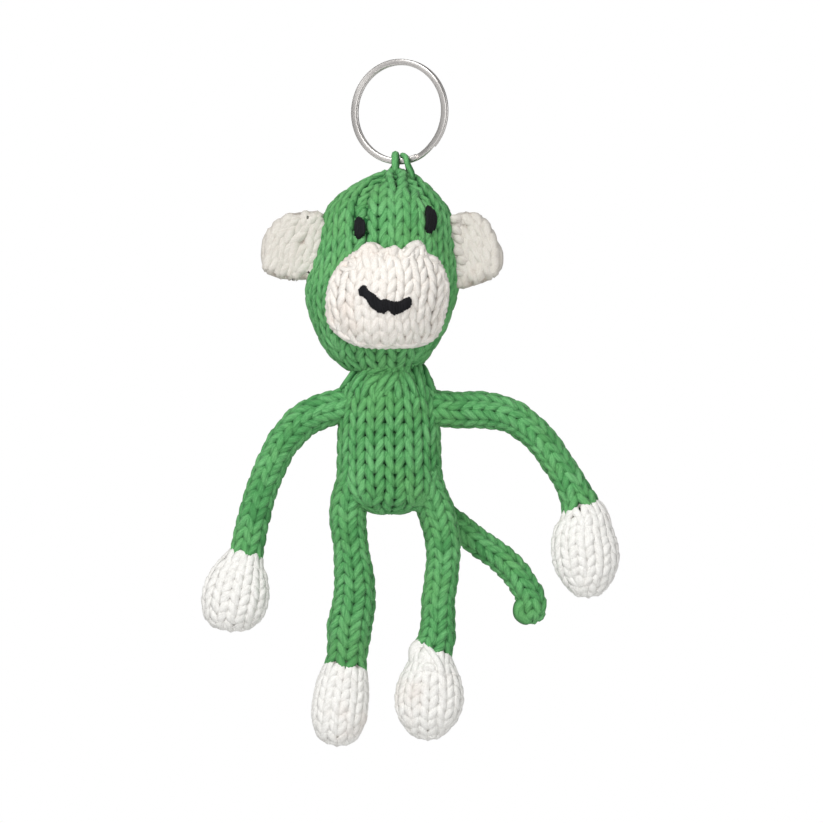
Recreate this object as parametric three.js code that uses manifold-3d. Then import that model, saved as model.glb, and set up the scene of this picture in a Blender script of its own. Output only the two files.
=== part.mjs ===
// A small stuffed knitted monkey that hangs from a steel split ring.
// Millimetres, +Z up, the face towards -Y. The origin is the top of the ring's bore, where a hook holds it.
import * as THREE from 'three';
import { mergeVertices } from 'three/addons/utils/BufferGeometryUtils.js';
import Module from 'manifold-3d';

const wasm = await Module();
wasm.setup();

// Clearances and cloth
const seatGap = 0.3; // between pieces that touch
const swingGap = 0.45; // between a ball end and the cup that it turns in
const clothThickness = 2.2; // knitted yarn
const fillGap = 0.3; // between a cover and its stuffing
const leastFill = 1.2; // half the depth under which a hand or foot holds no stuffing

// Split ring: a flat wire in two turns
const ring = {
  outerRadius: 14,
  wireWidth: 1.65,
  wireThickness: 0.75,
  turnGap: 0.42,
  stepsPerTurn: 36,
  jogSteps: 3,
  facingDeg: 25, // turned about the vertical, its right side nearer the viewer
};

// Hanging loop: yarn wound twice over the wire
const loop = { yarnRadius: 1.0, pitch: 3.0, turns: 2, stepsPerTurn: 24, sides: 6 };

// Crown tie: the drawn-up last round of stitches, [radius, height over its seat]
const crown = {
  x: -1.4,
  seatZ: -30.6,
  swingBar: 40, // length of the round bar that hollows it under the loop
  profile: [[8.4, 0], [8.2, 0.5], [7.2, 1.5], [5.9, 2.4], [4.5, 3.1], [3.6, 3.4]],
};

// Head, top to bottom: height, centre across, half width, half depth
const head = {
  stations: [
    [-30.9, -1.5, 8.5, 7.6],
    [-33.6, -2.7, 12.9, 11.3],
    [-38.7, -3.2, 16.8, 14.5],
    [-46.0, -3.4, 18.1, 15.8],
    [-53.0, -3.9, 19.6, 17.0],
    [-59.5, -4.7, 20.5, 17.6],
    [-65.0, -5.1, 19.4, 16.8],
    [-70.3, -5.3, 17.6, 15.4],
    [-75.0, -5.1, 15.2, 13.4],
    [-79.5, -4.3, 11.3, 10.4],
  ],
  rings: 14,
  sides: 24,
};
const liningSides = 12; // of a body's hollow and its stuffing
const headLiningRings = 8;
const torsoLiningRings = 7;

// Neck: a ball on the torso under the head, with a drawn yarn round it
const neck = {
  x: -4.1,
  z: -80.8,
  ballRadius: 9.0,
  tieRadius: 0.8,
  mouthRadius: 5.0,
};
const ballSides = 16;
const ballRings = 10;

// Torso, top to bottom: height, centre across, half width, half depth
const torso = {
  stations: [
    [-84.6, -3.9, 9.2, 7.2],
    [-87.2, -3.5, 12.3, 9.4],
    [-91.0, -3.2, 13.4, 10.6],
    [-98.0, -2.9, 13.7, 11.1],
    [-106.0, -2.7, 14.0, 11.4],
    [-111.5, -2.6, 14.1, 11.2],
    [-115.8, -2.6, 12.7, 10.2],
    [-118.6, -2.7, 8.6, 7.4],
    [-119.8, -2.8, 4.4, 4.0],
  ],
  rings: 12,
  sides: 20,
};

// Limbs. The route runs from the root joint to the tip as [x, y, z]. A girth is [distance along the route,
// half width, half depth]. A bend is a distance along the route where the limb turns.
const limbSides = 12;
const limbStep = 3.6; // between two ovals of a limb
const arms = {
  left: {
    route: [
      [-16.0, -0.5, -90.6], [-20.5, -0.7, -91.8], [-25.3, -0.9, -94.1], [-28.5, -1.1, -97.3],
      [-31.2, -1.3, -100.5], [-34.7, -1.6, -107.9], [-37.6, -1.9, -116.3], [-40.5, -2.2, -128.5],
      [-42.6, -2.5, -136.9], [-44.4, -2.7, -146.4], [-44.7, -2.8, -150.1],
    ],
    girths: [
      [0, 4.8, 4.8], [10, 4.75, 4.75], [20, 4.4, 4.4], [32, 4.3, 4.3], [44, 4.5, 4.5], [50, 5.0, 4.8],
      [54, 7.3, 5.9], [59, 8.9, 6.9], [64, 8.8, 6.8], [68, 7.2, 5.6], [70.7, 4.6, 3.6],
    ],
    bends: [25, 48],
  },
  right: {
    route: [
      [9.8, -0.5, -91.1], [14.7, -0.7, -91.5], [21.3, -0.9, -91.5], [27.1, -1.1, -92.3],
      [31.0, -1.2, -93.9], [37.4, -1.4, -99.2], [41.6, -1.6, -105.0], [45.0, -1.8, -110.5],
      [48.7, -2.2, -119.5], [48.8, -2.5, -125.8], [49.5, -2.7, -132.1], [50.0, -2.8, -141.1],
    ],
    girths: [
      [0, 4.9, 4.9], [13, 4.9, 4.9], [23, 4.5, 4.5], [31, 4.25, 4.25], [42, 4.2, 4.2], [49, 4.9, 4.7],
      [55, 7.3, 5.9], [61, 9.0, 6.9], [66, 9.0, 6.9], [71, 7.0, 5.4], [75.4, 3.2, 2.6],
    ],
    bends: [27, 47],
  },
};
const legs = {
  left: {
    route: [
      [-13.7, -0.5, -118.4], [-13.0, 0, -127.4], [-12.1, 0, -135.3], [-12.0, -0.2, -141.7],
      [-13.1, -0.4, -148.0], [-13.9, -0.6, -156.7], [-15.0, -1.0, -163.8], [-15.6, -1.2, -168.6],
      [-16.1, -1.3, -173.3], [-16.6, -1.3, -180.5],
    ],
    girths: [
      [0, 5.0, 5.0], [10, 4.75, 4.75], [18, 5.4, 5.4], [24, 5.8, 5.8], [31, 6.0, 6.0], [39, 5.5, 5.5],
      [46.5, 7.1, 6.2], [51.5, 7.5, 6.4], [56, 7.2, 6.1], [60.5, 5.4, 4.6], [62.5, 2.9, 2.5],
    ],
    bends: [19, 38],
  },
  right: {
    route: [
      [9.9, -0.5, -118.4], [11.6, 0, -127.4], [11.0, 0, -136.9], [10.3, -0.2, -141.7],
      [10.2, -0.4, -148.0], [9.8, -0.5, -152.2], [8.7, -0.7, -155.9], [8.2, -1.1, -162.3],
      [7.8, -1.2, -168.6], [7.5, -1.2, -174.9], [7.5, -1.2, -178.9],
    ],
    girths: [
      [0, 5.0, 5.0], [10, 4.65, 4.65], [19, 4.5, 4.5], [26, 4.5, 4.5], [33, 4.9, 4.9], [38.5, 6.5, 5.6],
      [45, 8.7, 6.9], [51, 9.3, 7.2], [55, 8.6, 6.7], [58.8, 5.8, 4.6], [60.6, 3.0, 2.5],
    ],
    bends: [18, 33],
  },
};
const tail = {
  route: [
    [-1.0, 10.4, -112.0], [3.8, 14.6, -114.0], [10.0, 15.6, -118.4], [16.5, 14.2, -123.4],
    [22.3, 12.6, -128.2], [28.1, 11.4, -132.1], [31.8, 10.8, -136.1], [34.5, 10.4, -140.1],
    [35.4, 10.2, -144.0], [35.4, 10.2, -148.4],
  ],
  girths: [[0, 3.9, 3.9], [28, 4.0, 4.0], [44, 4.3, 4.3], [51, 4.9, 4.6], [56, 3.6, 3.4]],
  bends: [28],
};

// Ears: outline from the top of the hinge edge round to its foot, [across, height]
const earHalfThickness = 1.6;
const earHollow = 0.8; // how far the front of an ear is dished
const earDishInset = 4.6; // from an ear's edge to its dish
const ears = {
  left: {
    hingeTop: [-22.8, -40.6],
    hingeFoot: [-26.0, -54.4],
    outline: [
      [-25.5, -39.6], [-29.5, -39.9], [-33.2, -42.2], [-36.0, -46.4], [-36.4, -51.0], [-34.9, -55.2],
      [-30.8, -56.4], [-27.2, -56.2],
    ],
  },
  right: {
    hingeTop: [16.6, -41.0],
    hingeFoot: [18.6, -57.0],
    outline: [
      [18.6, -39.6], [22.0, -41.0], [23.9, -44.8], [26.3, -48.4], [27.1, -52.4], [25.8, -56.0],
      [22.6, -57.9], [20.2, -58.4],
    ],
  },
};
const earY = -1.0;

// Muzzle: a patch on the face, outline [across, height], clockwise from its upper left lobe
const muzzle = {
  centre: [-3.4, -61.5],
  outline: [
    [-11.2, -49.0], [-7.8, -47.1], [-4.3, -48.9], [1.4, -49.0], [5.6, -46.7], [8.4, -49.9],
    [12.0, -53.4], [13.4, -59.6], [12.6, -66.5], [8.6, -74.0], [-2.0, -75.4], [-12.3, -74.2],
    [-18.4, -70.0], [-20.0, -65.0], [-18.8, -58.6], [-15.2, -52.4],
  ],
  edge: clothThickness, // thickness at its sewn edge
  height: 5.4, // thickness at its middle
};

// Eyes and mouth: pads of satin stitches
const stitchThickness = 0.8;
const eyes = {
  left: { centre: [-10.5, -43.6], halfWidth: 1.55, halfHeight: 2.85 },
  right: { centre: [8.3, -41.4], halfWidth: 1.6, halfHeight: 3.7 },
};
const mouth = {
  line: [[-10.0, -59.9], [-7.8, -62.2], [-4.9, -64.1], [-2.0, -64.5], [0.8, -63.8], [2.7, -62.6]],
  girths: [[0, 0.9], [2, 1.4], [6, 1.75], [9, 1.75], [12.5, 1.4], [14.5, 0.9]],
  rings: 10,
  sides: 6,
};

// Colours of yarn and steel
const green = [0x57a368, 0.95, 0];
const cream = [0xdcd6cf, 0.95, 0];
const black = [0x1c1c20, 0.7, 0];
const fibre = [0xf1efe9, 1.0, 0];
const steel = [0xa8a5a1, 0.3, 1];

const group = new THREE.Group();

function addNode(name, geometry, [color, roughness, metalness]) {
  const material = new THREE.MeshStandardMaterial({ color, roughness, metalness, flatShading: true });
  const mesh = new THREE.Mesh(geometry, material);
  mesh.name = name;
  group.add(mesh);
}

// A closed BufferGeometry as a solid, and back
function solidOf(geometry) {
  const bare = geometry.clone();
  bare.deleteAttribute('normal');
  bare.deleteAttribute('uv');
  const merged = mergeVertices(bare, 1e-4);
  return new wasm.Manifold(new wasm.Mesh({
    numProp: 3,
    vertProperties: new Float32Array(merged.attributes.position.array),
    triVerts: new Uint32Array(merged.index.array),
  }));
}

function geometryOf(solid) {
  const mesh = solid.getMesh();
  const geometry = new THREE.BufferGeometry();
  geometry.setAttribute('position', new THREE.BufferAttribute(new Float32Array(mesh.vertProperties), 3));
  geometry.setIndex(new THREE.BufferAttribute(new Uint32Array(mesh.triVerts), 1));
  return geometry;
}

// Rings of points, each with the same count, joined into one closed skin. A one-point ring is a pole.
function skin(rings) {
  const points = rings.flat();
  const triangles = [];
  const start = [];
  let count = 0;
  for (const ringPoints of rings) {
    start.push(count);
    count += ringPoints.length;
  }
  for (let i = 0; i + 1 < rings.length; i += 1) {
    const here = rings[i].length;
    const next = rings[i + 1].length;
    const sides = Math.max(here, next);
    for (let j = 0; j < sides; j += 1) {
      const a = start[i] + (here === 1 ? 0 : j);
      const b = start[i] + (here === 1 ? 0 : (j + 1) % sides);
      const c = start[i + 1] + (next === 1 ? 0 : j);
      const d = start[i + 1] + (next === 1 ? 0 : (j + 1) % sides);
      if (here > 1) triangles.push(a, b, c);
      if (next > 1) triangles.push(b, d, c);
    }
  }
  const geometry = new THREE.BufferGeometry();
  geometry.setAttribute('position', new THREE.Float32BufferAttribute(points.flatMap((p) => [p.x, p.y, p.z]), 3));
  geometry.setIndex(triangles);
  return geometry;
}

function centreOf(points) {
  const sum = points.reduce((total, p) => total.add(p), new THREE.Vector3());
  return sum.divideScalar(points.length);
}

function closedSkin(rings) {
  const whole = [[centreOf(rings[0])], ...rings, [centreOf(rings[rings.length - 1])]];
  const solid = solidOf(skin(whole));
  if (solid.volume() > 0) return solid;
  return solidOf(skin(whole.map((points) => [...points].reverse())));
}

// A smooth curve through the values of a table whose first column is the place
function smoothTable(rows) {
  const places = rows.map((row) => row[0]);
  const values = rows.flatMap((row) => row.slice(1));
  const width = rows[0].length - 1;
  const curve = new THREE.CubicInterpolant(places, values, width, new Array(width).fill(0));
  return (place) => [...curve.evaluate(place)];
}

// A body of oval level rings, inset for its lining
function ovalBody({ stations, rings, sides }, inset = 0) {
  const upward = [...stations].reverse();
  const shapeAt = smoothTable(upward);
  const low = upward[0][0] + inset;
  const high = upward[upward.length - 1][0] - inset;
  const levels = [];
  for (let i = 0; i <= rings; i += 1) {
    const z = THREE.MathUtils.lerp(low, high, (1 - Math.cos((Math.PI * i) / rings)) / 2);
    const [x, halfWidth, halfDepth] = shapeAt(z);
    const level = [];
    for (let j = 0; j < sides; j += 1) {
      const angle = (2 * Math.PI * j) / sides;
      const across = x + (halfWidth - inset) * Math.cos(angle);
      level.push(new THREE.Vector3(across, (halfDepth - inset) * Math.sin(angle), z));
    }
    levels.push(level);
  }
  return closedSkin(levels);
}

function ball(centre, radius) {
  const geometry = new THREE.SphereGeometry(radius, ballSides, ballRings);
  geometry.rotateX(Math.PI / 2);
  geometry.translate(centre.x, centre.y, centre.z);
  return solidOf(geometry);
}

// A limb's route with its length, its girth, and the frame of an oval at a distance, also past its ends
function limbPath({ route, girths }) {
  const curve = new THREE.CatmullRomCurve3(route.map((p) => new THREE.Vector3(...p)), false, 'centripetal');
  const length = curve.getLength();
  const girthAt = smoothTable(girths);
  const lastGirth = girths[girths.length - 1][0];
  const at = (distance) => {
    const inside = THREE.MathUtils.clamp(distance, 0, length);
    const along = curve.getTangentAt(inside / length);
    const point = curve.getPointAt(inside / length).addScaledVector(along, distance - inside);
    const depth = new THREE.Vector3(0, 1, 0).addScaledVector(along, -along.y).normalize();
    const width = new THREE.Vector3().crossVectors(along, depth);
    const [halfWidth, halfDepth] = girthAt(Math.min(distance, lastGirth));
    return { point, along, width, depth, halfWidth, halfDepth };
  };
  return { length, lastGirth, at };
}

function oval(frame, halfWidth, halfDepth, shift = 0) {
  const level = [];
  for (let j = 0; j < limbSides; j += 1) {
    const angle = (2 * Math.PI * j) / limbSides;
    level.push(frame.point.clone()
      .addScaledVector(frame.along, shift)
      .addScaledVector(frame.width, halfWidth * Math.cos(angle))
      .addScaledVector(frame.depth, halfDepth * Math.sin(angle)));
  }
  return level;
}

// Ovals along a limb from one distance to another
function tubeOvals(path, from, to) {
  const steps = Math.max(2, Math.round((to - from) / limbStep));
  const levels = [];
  for (let i = 0; i <= steps; i += 1) {
    const frame = path.at(THREE.MathUtils.lerp(from, to, i / steps));
    levels.push(oval(frame, frame.halfWidth, frame.halfDepth));
  }
  return levels;
}

// The rounded tip of a limb, from its last girth to its end
function tipOvals(path) {
  const reach = path.length - path.lastGirth;
  const frame = path.at(path.lastGirth);
  return [0.45, 0.8, 1].map((share) => {
    const round = Math.sqrt(1 - share * share);
    if (share === 1) return [frame.point.clone().addScaledVector(frame.along, reach)];
    return oval(frame, frame.halfWidth * round, frame.halfDepth * round, reach * share);
  });
}

// Rings of a round end that reaches back from a joint, from its pole or its mouth out to its rim
function domeOvals(frame, radius, fromDeg, toDeg) {
  const steps = 3;
  const levels = [];
  for (let i = 0; i <= steps; i += 1) {
    const angle = THREE.MathUtils.degToRad(THREE.MathUtils.lerp(fromDeg, toDeg, i / steps));
    const shift = -radius * Math.cos(angle);
    if (angle === 0) levels.push([frame.point.clone().addScaledVector(frame.along, shift)]);
    else levels.push(oval(frame, radius * Math.sin(angle), radius * Math.sin(angle), shift));
  }
  return levels;
}

function facingOut(rings) {
  const solid = solidOf(skin(rings));
  if (solid.volume() > 0) return solid;
  return solidOf(skin(rings.map((points) => [...points].reverse())));
}

// A limb in pieces: each has a ball at its near end, and a cup at its far end or the limb's rounded tip
function limbPieces(limb) {
  const path = limbPath(limb);
  const places = [0, ...limb.bends];
  return places.map((place, i) => {
    const near = path.at(place);
    const dome = domeOvals(near, near.halfWidth, 0, 80);
    if (i + 1 === places.length) {
      return facingOut([...dome, ...tubeOvals(path, place, path.lastGirth), ...tipOvals(path)]);
    }
    const far = path.at(places[i + 1]);
    const cupRadius = far.halfWidth + swingGap;
    const rimDeg = THREE.MathUtils.radToDeg(Math.asin(far.halfWidth / cupRadius));
    const rimPlace = places[i + 1] - Math.sqrt(cupRadius ** 2 - far.halfWidth ** 2);
    const cup = domeOvals(far, cupRadius, rimDeg, 0);
    return facingOut([...dome, ...tubeOvals(path, place, rimPlace), ...cup.slice(1)]);
  });
}

// Ovals of the hollow in a hand or foot, from its joint to where it gets too narrow, and a point that ends it
function hollowOvals(path, place, inset, dropped = 0) {
  const steps = Math.round((path.lastGirth - place) / limbStep);
  const frames = [];
  for (let i = 0; i <= steps; i += 1) {
    const frame = path.at(THREE.MathUtils.lerp(place, path.lastGirth, i / steps));
    if (frame.halfDepth - clothThickness > leastFill) frames.push(frame);
  }
  const kept = frames.slice(0, frames.length - dropped);
  const levels = kept.map((frame) => oval(frame, frame.halfWidth - inset, frame.halfDepth - inset));
  return [...levels, [kept[kept.length - 1].point]];
}

// A hand or foot: a cover that is open at its ball, and the stuffing in it
function stuffedEnd(limb) {
  const path = limbPath(limb);
  const place = limb.bends[limb.bends.length - 1];
  const near = path.at(place);
  const radius = near.halfWidth;
  const mouthRadius = radius - clothThickness;
  const mouthDeg = THREE.MathUtils.radToDeg(Math.asin(mouthRadius / radius));
  const cover = facingOut([
    ...hollowOvals(path, place, clothThickness).reverse(), ...domeOvals(near, radius, mouthDeg, 80),
    ...tubeOvals(path, place, path.lastGirth), ...tipOvals(path),
  ]);
  const fillOvals = hollowOvals(path, place, clothThickness + fillGap, 1);
  const filling = facingOut([[near.point], ...fillOvals]);
  return { cover, filling };
}

const biggest = (solid) => solid.decompose().sort((a, b) => b.volume() - a.volume())[0];

// Split ring
const ringFacing = THREE.MathUtils.degToRad(ring.facingDeg);
const ringAcross = new THREE.Vector3(Math.cos(ringFacing), -Math.sin(ringFacing), 0);
const ringAxis = new THREE.Vector3(Math.sin(ringFacing), Math.cos(ringFacing), 0);
const ringCentre = new THREE.Vector3(0, 0, -(ring.outerRadius - ring.wireWidth));
const wireRadius = ring.outerRadius - ring.wireWidth / 2;
const wireBottom = ringCentre.clone().add(new THREE.Vector3(0, 0, -wireRadius));
const turnPitch = ring.wireThickness + ring.turnGap;

function wireSection() {
  const halfWidth = ring.wireWidth / 2;
  const halfThickness = ring.wireThickness / 2;
  return [
    [halfWidth, halfThickness], [-halfWidth, halfThickness],
    [-halfWidth, -halfThickness], [halfWidth, -halfThickness],
  ];
}

function keyRing() {
  const steps = 2 * ring.stepsPerTurn - ring.jogSteps;
  const levels = [];
  for (let i = 0; i <= steps; i += 1) {
    const angle = (2 * Math.PI * i) / ring.stepsPerTurn;
    const jog = THREE.MathUtils.smoothstep(i, ring.stepsPerTurn - ring.jogSteps, ring.stepsPerTurn);
    const shift = turnPitch * (jog - 0.5);
    const out = new THREE.Vector3(0, 0, Math.cos(angle)).addScaledVector(ringAcross, -Math.sin(angle));
    levels.push(wireSection().map(([radial, axial]) => ringCentre.clone()
      .addScaledVector(out, wireRadius + radial)
      .addScaledVector(ringAxis, shift + axial)));
  }
  return levels;
}

// The least distance between parts of a coil that lie more than a quarter of a turn apart along it
function leastSelfGap(levels, stepsPerTurn) {
  let least = Infinity;
  for (let i = 0; i < levels.length; i += 1) {
    for (let k = i + Math.ceil(stepsPerTurn / 4); k < levels.length; k += 1) {
      for (const a of levels[i]) {
        for (const b of levels[k]) least = Math.min(least, a.distanceTo(b));
      }
    }
  }
  return least;
}

const ringLevels = keyRing();
console.log('split ring, least gap between its turns, mm:', leastSelfGap(ringLevels, ring.stepsPerTurn).toFixed(3));
addNode('key_ring', geometryOf(closedSkin(ringLevels)), steel);

// Hanging loop: a coil round the wire at the bottom of the ring
const wireReach = Math.hypot(ring.wireWidth, turnPitch + ring.wireThickness) / 2;
const loopRadius = wireReach + seatGap + loop.yarnRadius;

function hangingLoop() {
  const steps = loop.turns * loop.stepsPerTurn;
  const levels = [];
  for (let i = 0; i <= steps; i += 1) {
    const angle = (2 * Math.PI * i) / loop.stepsPerTurn;
    const shift = loop.pitch * (i / loop.stepsPerTurn - loop.turns / 2);
    const out = new THREE.Vector3(0, 0, -Math.cos(angle)).addScaledVector(ringAxis, Math.sin(angle));
    const centre = wireBottom.clone().addScaledVector(out, loopRadius).addScaledVector(ringAcross, shift);
    const level = [];
    for (let j = 0; j < loop.sides; j += 1) {
      const turn = (2 * Math.PI * j) / loop.sides;
      level.push(centre.clone()
        .addScaledVector(out, loop.yarnRadius * Math.cos(turn))
        .addScaledVector(ringAcross, loop.yarnRadius * Math.sin(turn)));
    }
    levels.push(level);
  }
  return levels;
}

const loopLevels = hangingLoop();
console.log('hanging loop, least gap between its turns, mm:', leastSelfGap(loopLevels, loop.stepsPerTurn).toFixed(3));
addNode('hanging_loop', geometryOf(closedSkin(loopLevels)), green);

// A round bar across the ring at the wire: what the crown is hollowed by, so that it swings under the loop
function loopClearance() {
  const geometry = new THREE.CylinderGeometry(
    loopRadius + loop.yarnRadius + seatGap, loopRadius + loop.yarnRadius + seatGap,
    crown.swingBar, loop.stepsPerTurn);
  const turn = new THREE.Quaternion().setFromUnitVectors(new THREE.Vector3(0, 1, 0), ringAcross);
  geometry.applyQuaternion(turn);
  geometry.translate(wireBottom.x, wireBottom.y, wireBottom.z);
  return solidOf(geometry);
}

function crownTie() {
  const profile = crown.profile.map(([radius, height]) => new THREE.Vector2(radius, height));
  const closed = [new THREE.Vector2(0, 0), ...profile, new THREE.Vector2(0, profile[profile.length - 1].y)];
  const geometry = new THREE.LatheGeometry(closed, 16);
  geometry.rotateX(Math.PI / 2);
  geometry.translate(crown.x, 0, crown.seatZ);
  return solidOf(geometry).subtract(loopClearance());
}

addNode('crown_tie', geometryOf(crownTie()), green);

// Neck and head
const neckCentre = new THREE.Vector3(neck.x, 0, neck.z);
const tieMiddle = neck.ballRadius + seatGap + neck.tieRadius;

function neckTie() {
  const geometry = new THREE.TorusGeometry(tieMiddle, neck.tieRadius, loop.sides, ballSides);
  geometry.translate(neck.x, 0, neck.z);
  return solidOf(geometry);
}

addNode('neck_tie', geometryOf(neckTie()), green);

const headCup = ball(neckCentre, neck.ballRadius + swingGap);
const headForm = ovalBody(head);
const headLining = { ...head, rings: headLiningRings, sides: liningSides };
const mouthLength = neck.ballRadius * 2;
const mouthOfHead = new THREE.CylinderGeometry(neck.mouthRadius, neck.mouthRadius, mouthLength, liningSides);
mouthOfHead.rotateX(Math.PI / 2);
mouthOfHead.translate(neck.x, 0, neck.z + mouthLength / 2);
const headCavity = ovalBody(headLining, clothThickness).add(solidOf(mouthOfHead));
addNode('head_cover', geometryOf(headForm.subtract(headCavity).subtract(headCup)), green);
addNode('head_stuffing', geometryOf(ovalBody(headLining, clothThickness + fillGap)
  .subtract(ball(neckCentre, neck.ballRadius + swingGap + fillGap))), fibre);

// The face: the front of the head at a place across and up, with the direction out of it
const headShapeAt = smoothTable([...head.stations].reverse());

function facePoint(x, z) {
  const [middle, halfWidth, halfDepth] = headShapeAt(z);
  const across = THREE.MathUtils.clamp((x - middle) / halfWidth, -0.97, 0.97);
  return new THREE.Vector3(x, -halfDepth * Math.sqrt(1 - across * across), z);
}

function faceNormal(x, z) {
  const step = 0.2;
  const across = facePoint(x + step, z).sub(facePoint(x - step, z));
  const up = facePoint(x, z + step).sub(facePoint(x, z - step));
  return new THREE.Vector3().crossVectors(across, up).normalize();
}

function faceOffset(x, z, height) {
  return facePoint(x, z).addScaledVector(faceNormal(x, z), height);
}

// A patch on the face: rings of its outline drawn in to its centre, an outer skin over an inner one
function facePatch(centre, outline, shares, outerAt, innerAt) {
  const ringAt = (share, heightAt) => outline.map(([x, z]) => {
    const px = THREE.MathUtils.lerp(centre[0], x, share);
    const pz = THREE.MathUtils.lerp(centre[1], z, share);
    return faceOffset(px, pz, heightAt(share));
  });
  const outer = shares.map((share) => ringAt(share, outerAt));
  const inner = [...shares].reverse().map((share) => ringAt(share, innerAt));
  const rings = [[faceOffset(...centre, outerAt(0))], ...outer, ...inner, [faceOffset(...centre, innerAt(0))]];
  const solid = solidOf(skin(rings));
  if (solid.volume() > 0) return solid;
  return solidOf(skin(rings.map((points) => [...points].reverse())));
}

function closedOutline(points, count) {
  const curve = new THREE.CatmullRomCurve3(points.map(([x, z]) => new THREE.Vector3(x, 0, z)), true, 'centripetal');
  return curve.getSpacedPoints(count).slice(0, count).map((p) => [p.x, p.z]);
}

// Muzzle: crowned cover and the stuffing under it
const muzzleOutline = closedOutline(muzzle.outline, 28);
const muzzleShares = [0.4, 0.7, 0.89, 1];
const muzzleTop = (share) => {
  const round = Math.sqrt(Math.max(0, 1 - share ** 4));
  return seatGap + muzzle.edge + (muzzle.height - muzzle.edge) * round;
};
const muzzleUnder = (share) => (share < 0.9 ? muzzleTop(share) - clothThickness : seatGap);
addNode('muzzle_cover', geometryOf(
  facePatch(muzzle.centre, muzzleOutline, muzzleShares, muzzleTop, muzzleUnder)), cream);
const fillOutline = closedOutline(muzzle.outline, 14);
const fillShares = [0.4, 0.7, 0.78];
const fillTop = (share) => muzzleTop(Math.min(share * 1.1, 1)) - clothThickness - fillGap;
addNode('muzzle_stuffing', geometryOf(
  facePatch(muzzle.centre, fillOutline, fillShares, fillTop, () => seatGap)), fibre);

// Eyes
for (const [side, eye] of Object.entries(eyes)) {
  const [x, z] = eye.centre;
  const oval = [];
  for (let j = 0; j < 12; j += 1) {
    const angle = (2 * Math.PI * j) / 12;
    oval.push([x + eye.halfWidth * Math.cos(angle), z - eye.halfHeight * Math.sin(angle)]);
  }
  const top = (share) => seatGap + stitchThickness * (1 - 0.5 * share ** 3);
  addNode(`${side}_eye`, geometryOf(facePatch(eye.centre, oval, [0.6, 1], top, () => seatGap)), black);
}

// Mouth: a crescent that lies on the muzzle
function muzzleShareAt(x, z) {
  const [cx, cz] = muzzle.centre;
  const bearing = Math.atan2(z - cz, x - cx);
  let reach = 0;
  let nearest = Infinity;
  for (const [ox, oz] of muzzleOutline) {
    const off = Math.abs(Math.atan2(Math.sin(Math.atan2(oz - cz, ox - cx) - bearing),
      Math.cos(Math.atan2(oz - cz, ox - cx) - bearing)));
    if (off < nearest) {
      nearest = off;
      reach = Math.hypot(ox - cx, oz - cz);
    }
  }
  return Math.hypot(x - cx, z - cz) / reach;
}

function mouthSolid() {
  const line = new THREE.CatmullRomCurve3(mouth.line.map(([x, z]) => new THREE.Vector3(x, 0, z)), false, 'centripetal');
  const length = line.getLength();
  const girthAt = smoothTable(mouth.girths);
  const levels = [];
  for (let i = 0; i <= mouth.rings; i += 1) {
    const share = i / mouth.rings;
    const middle = line.getPointAt(share);
    const along = line.getTangentAt(share);
    const [half] = girthAt(Math.min(share * length, mouth.girths[mouth.girths.length - 1][0]));
    const level = [];
    for (let j = 0; j < mouth.sides; j += 1) {
      const angle = (2 * Math.PI * j) / mouth.sides;
      const x = middle.x - along.z * half * Math.cos(angle);
      const z = middle.z + along.x * half * Math.cos(angle);
      const rise = stitchThickness * (0.5 + 0.5 * Math.sin(angle));
      level.push(faceOffset(x, z, muzzleTop(muzzleShareAt(x, z)) + seatGap + rise));
    }
    levels.push(level);
  }
  return closedSkin(levels);
}

addNode('mouth', geometryOf(mouthSolid()), black);

// Ears: dished pads whose inner edge is round about its hinge line
for (const [side, ear] of Object.entries(ears)) {
  const sign = side === 'left' ? -1 : 1;
  const inward = -sign * earHalfThickness;
  const inner = [0, 0.5, 1].map((share) => [
    THREE.MathUtils.lerp(ear.hingeFoot[0], ear.hingeTop[0], share) + inward,
    THREE.MathUtils.lerp(ear.hingeFoot[1], ear.hingeTop[1], share),
  ]);
  const rim = closedOutline([...ear.outline, ...inner], 20);
  const middle = [
    rim.reduce((sum, p) => sum + p[0], 0) / rim.length,
    rim.reduce((sum, p) => sum + p[1], 0) / rim.length,
  ];
  const span = Math.hypot(rim[0][0] - middle[0], rim[0][1] - middle[1]);
  const layer = (inset, y) => rim.map(([x, z]) => new THREE.Vector3(
    THREE.MathUtils.lerp(x, middle[0], inset / span), earY + y,
    THREE.MathUtils.lerp(z, middle[1], inset / span)));
  const t = earHalfThickness;
  const rings = [
    layer(earDishInset, -t + earHollow), layer(t, -t), layer(0.3 * t, -0.7 * t),
    layer(0, 0), layer(0.3 * t, 0.7 * t), layer(t, t), layer(earDishInset, t + 0.3),
  ];
  addNode(`${side}_ear`, geometryOf(closedSkin(rings)), cream);
}

// Torso with its neck ball, hollowed where the limbs' balls sit and where their roots swing.
// Each swing is [limb, turning axis, angles through which its root is cut, in degrees].
const swings = [
  [arms.left, [0, 1, 0], [-20, 0, 25, 50, 72]],
  [arms.right, [0, -1, 0], [-20, 0, 25, 50, 72]],
  [legs.left, [-1, 0, 0], [-12, 10, 32, 54, 76]],
  [legs.right, [-1, 0, 0], [-12, 10, 32, 54, 76]],
  [tail, [0, 0, 1], [0, 30, 60]],
];
const rootReach = 12; // how far from its joint a root is cut clear of the torso

function alignedBall(frame, radius) {
  const back = domeOvals(frame, radius, 0, 90);
  const front = domeOvals({ ...frame, along: frame.along.clone().negate() }, radius, 90, 0);
  return facingOut([...back, ...front.slice(1)]);
}

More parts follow.
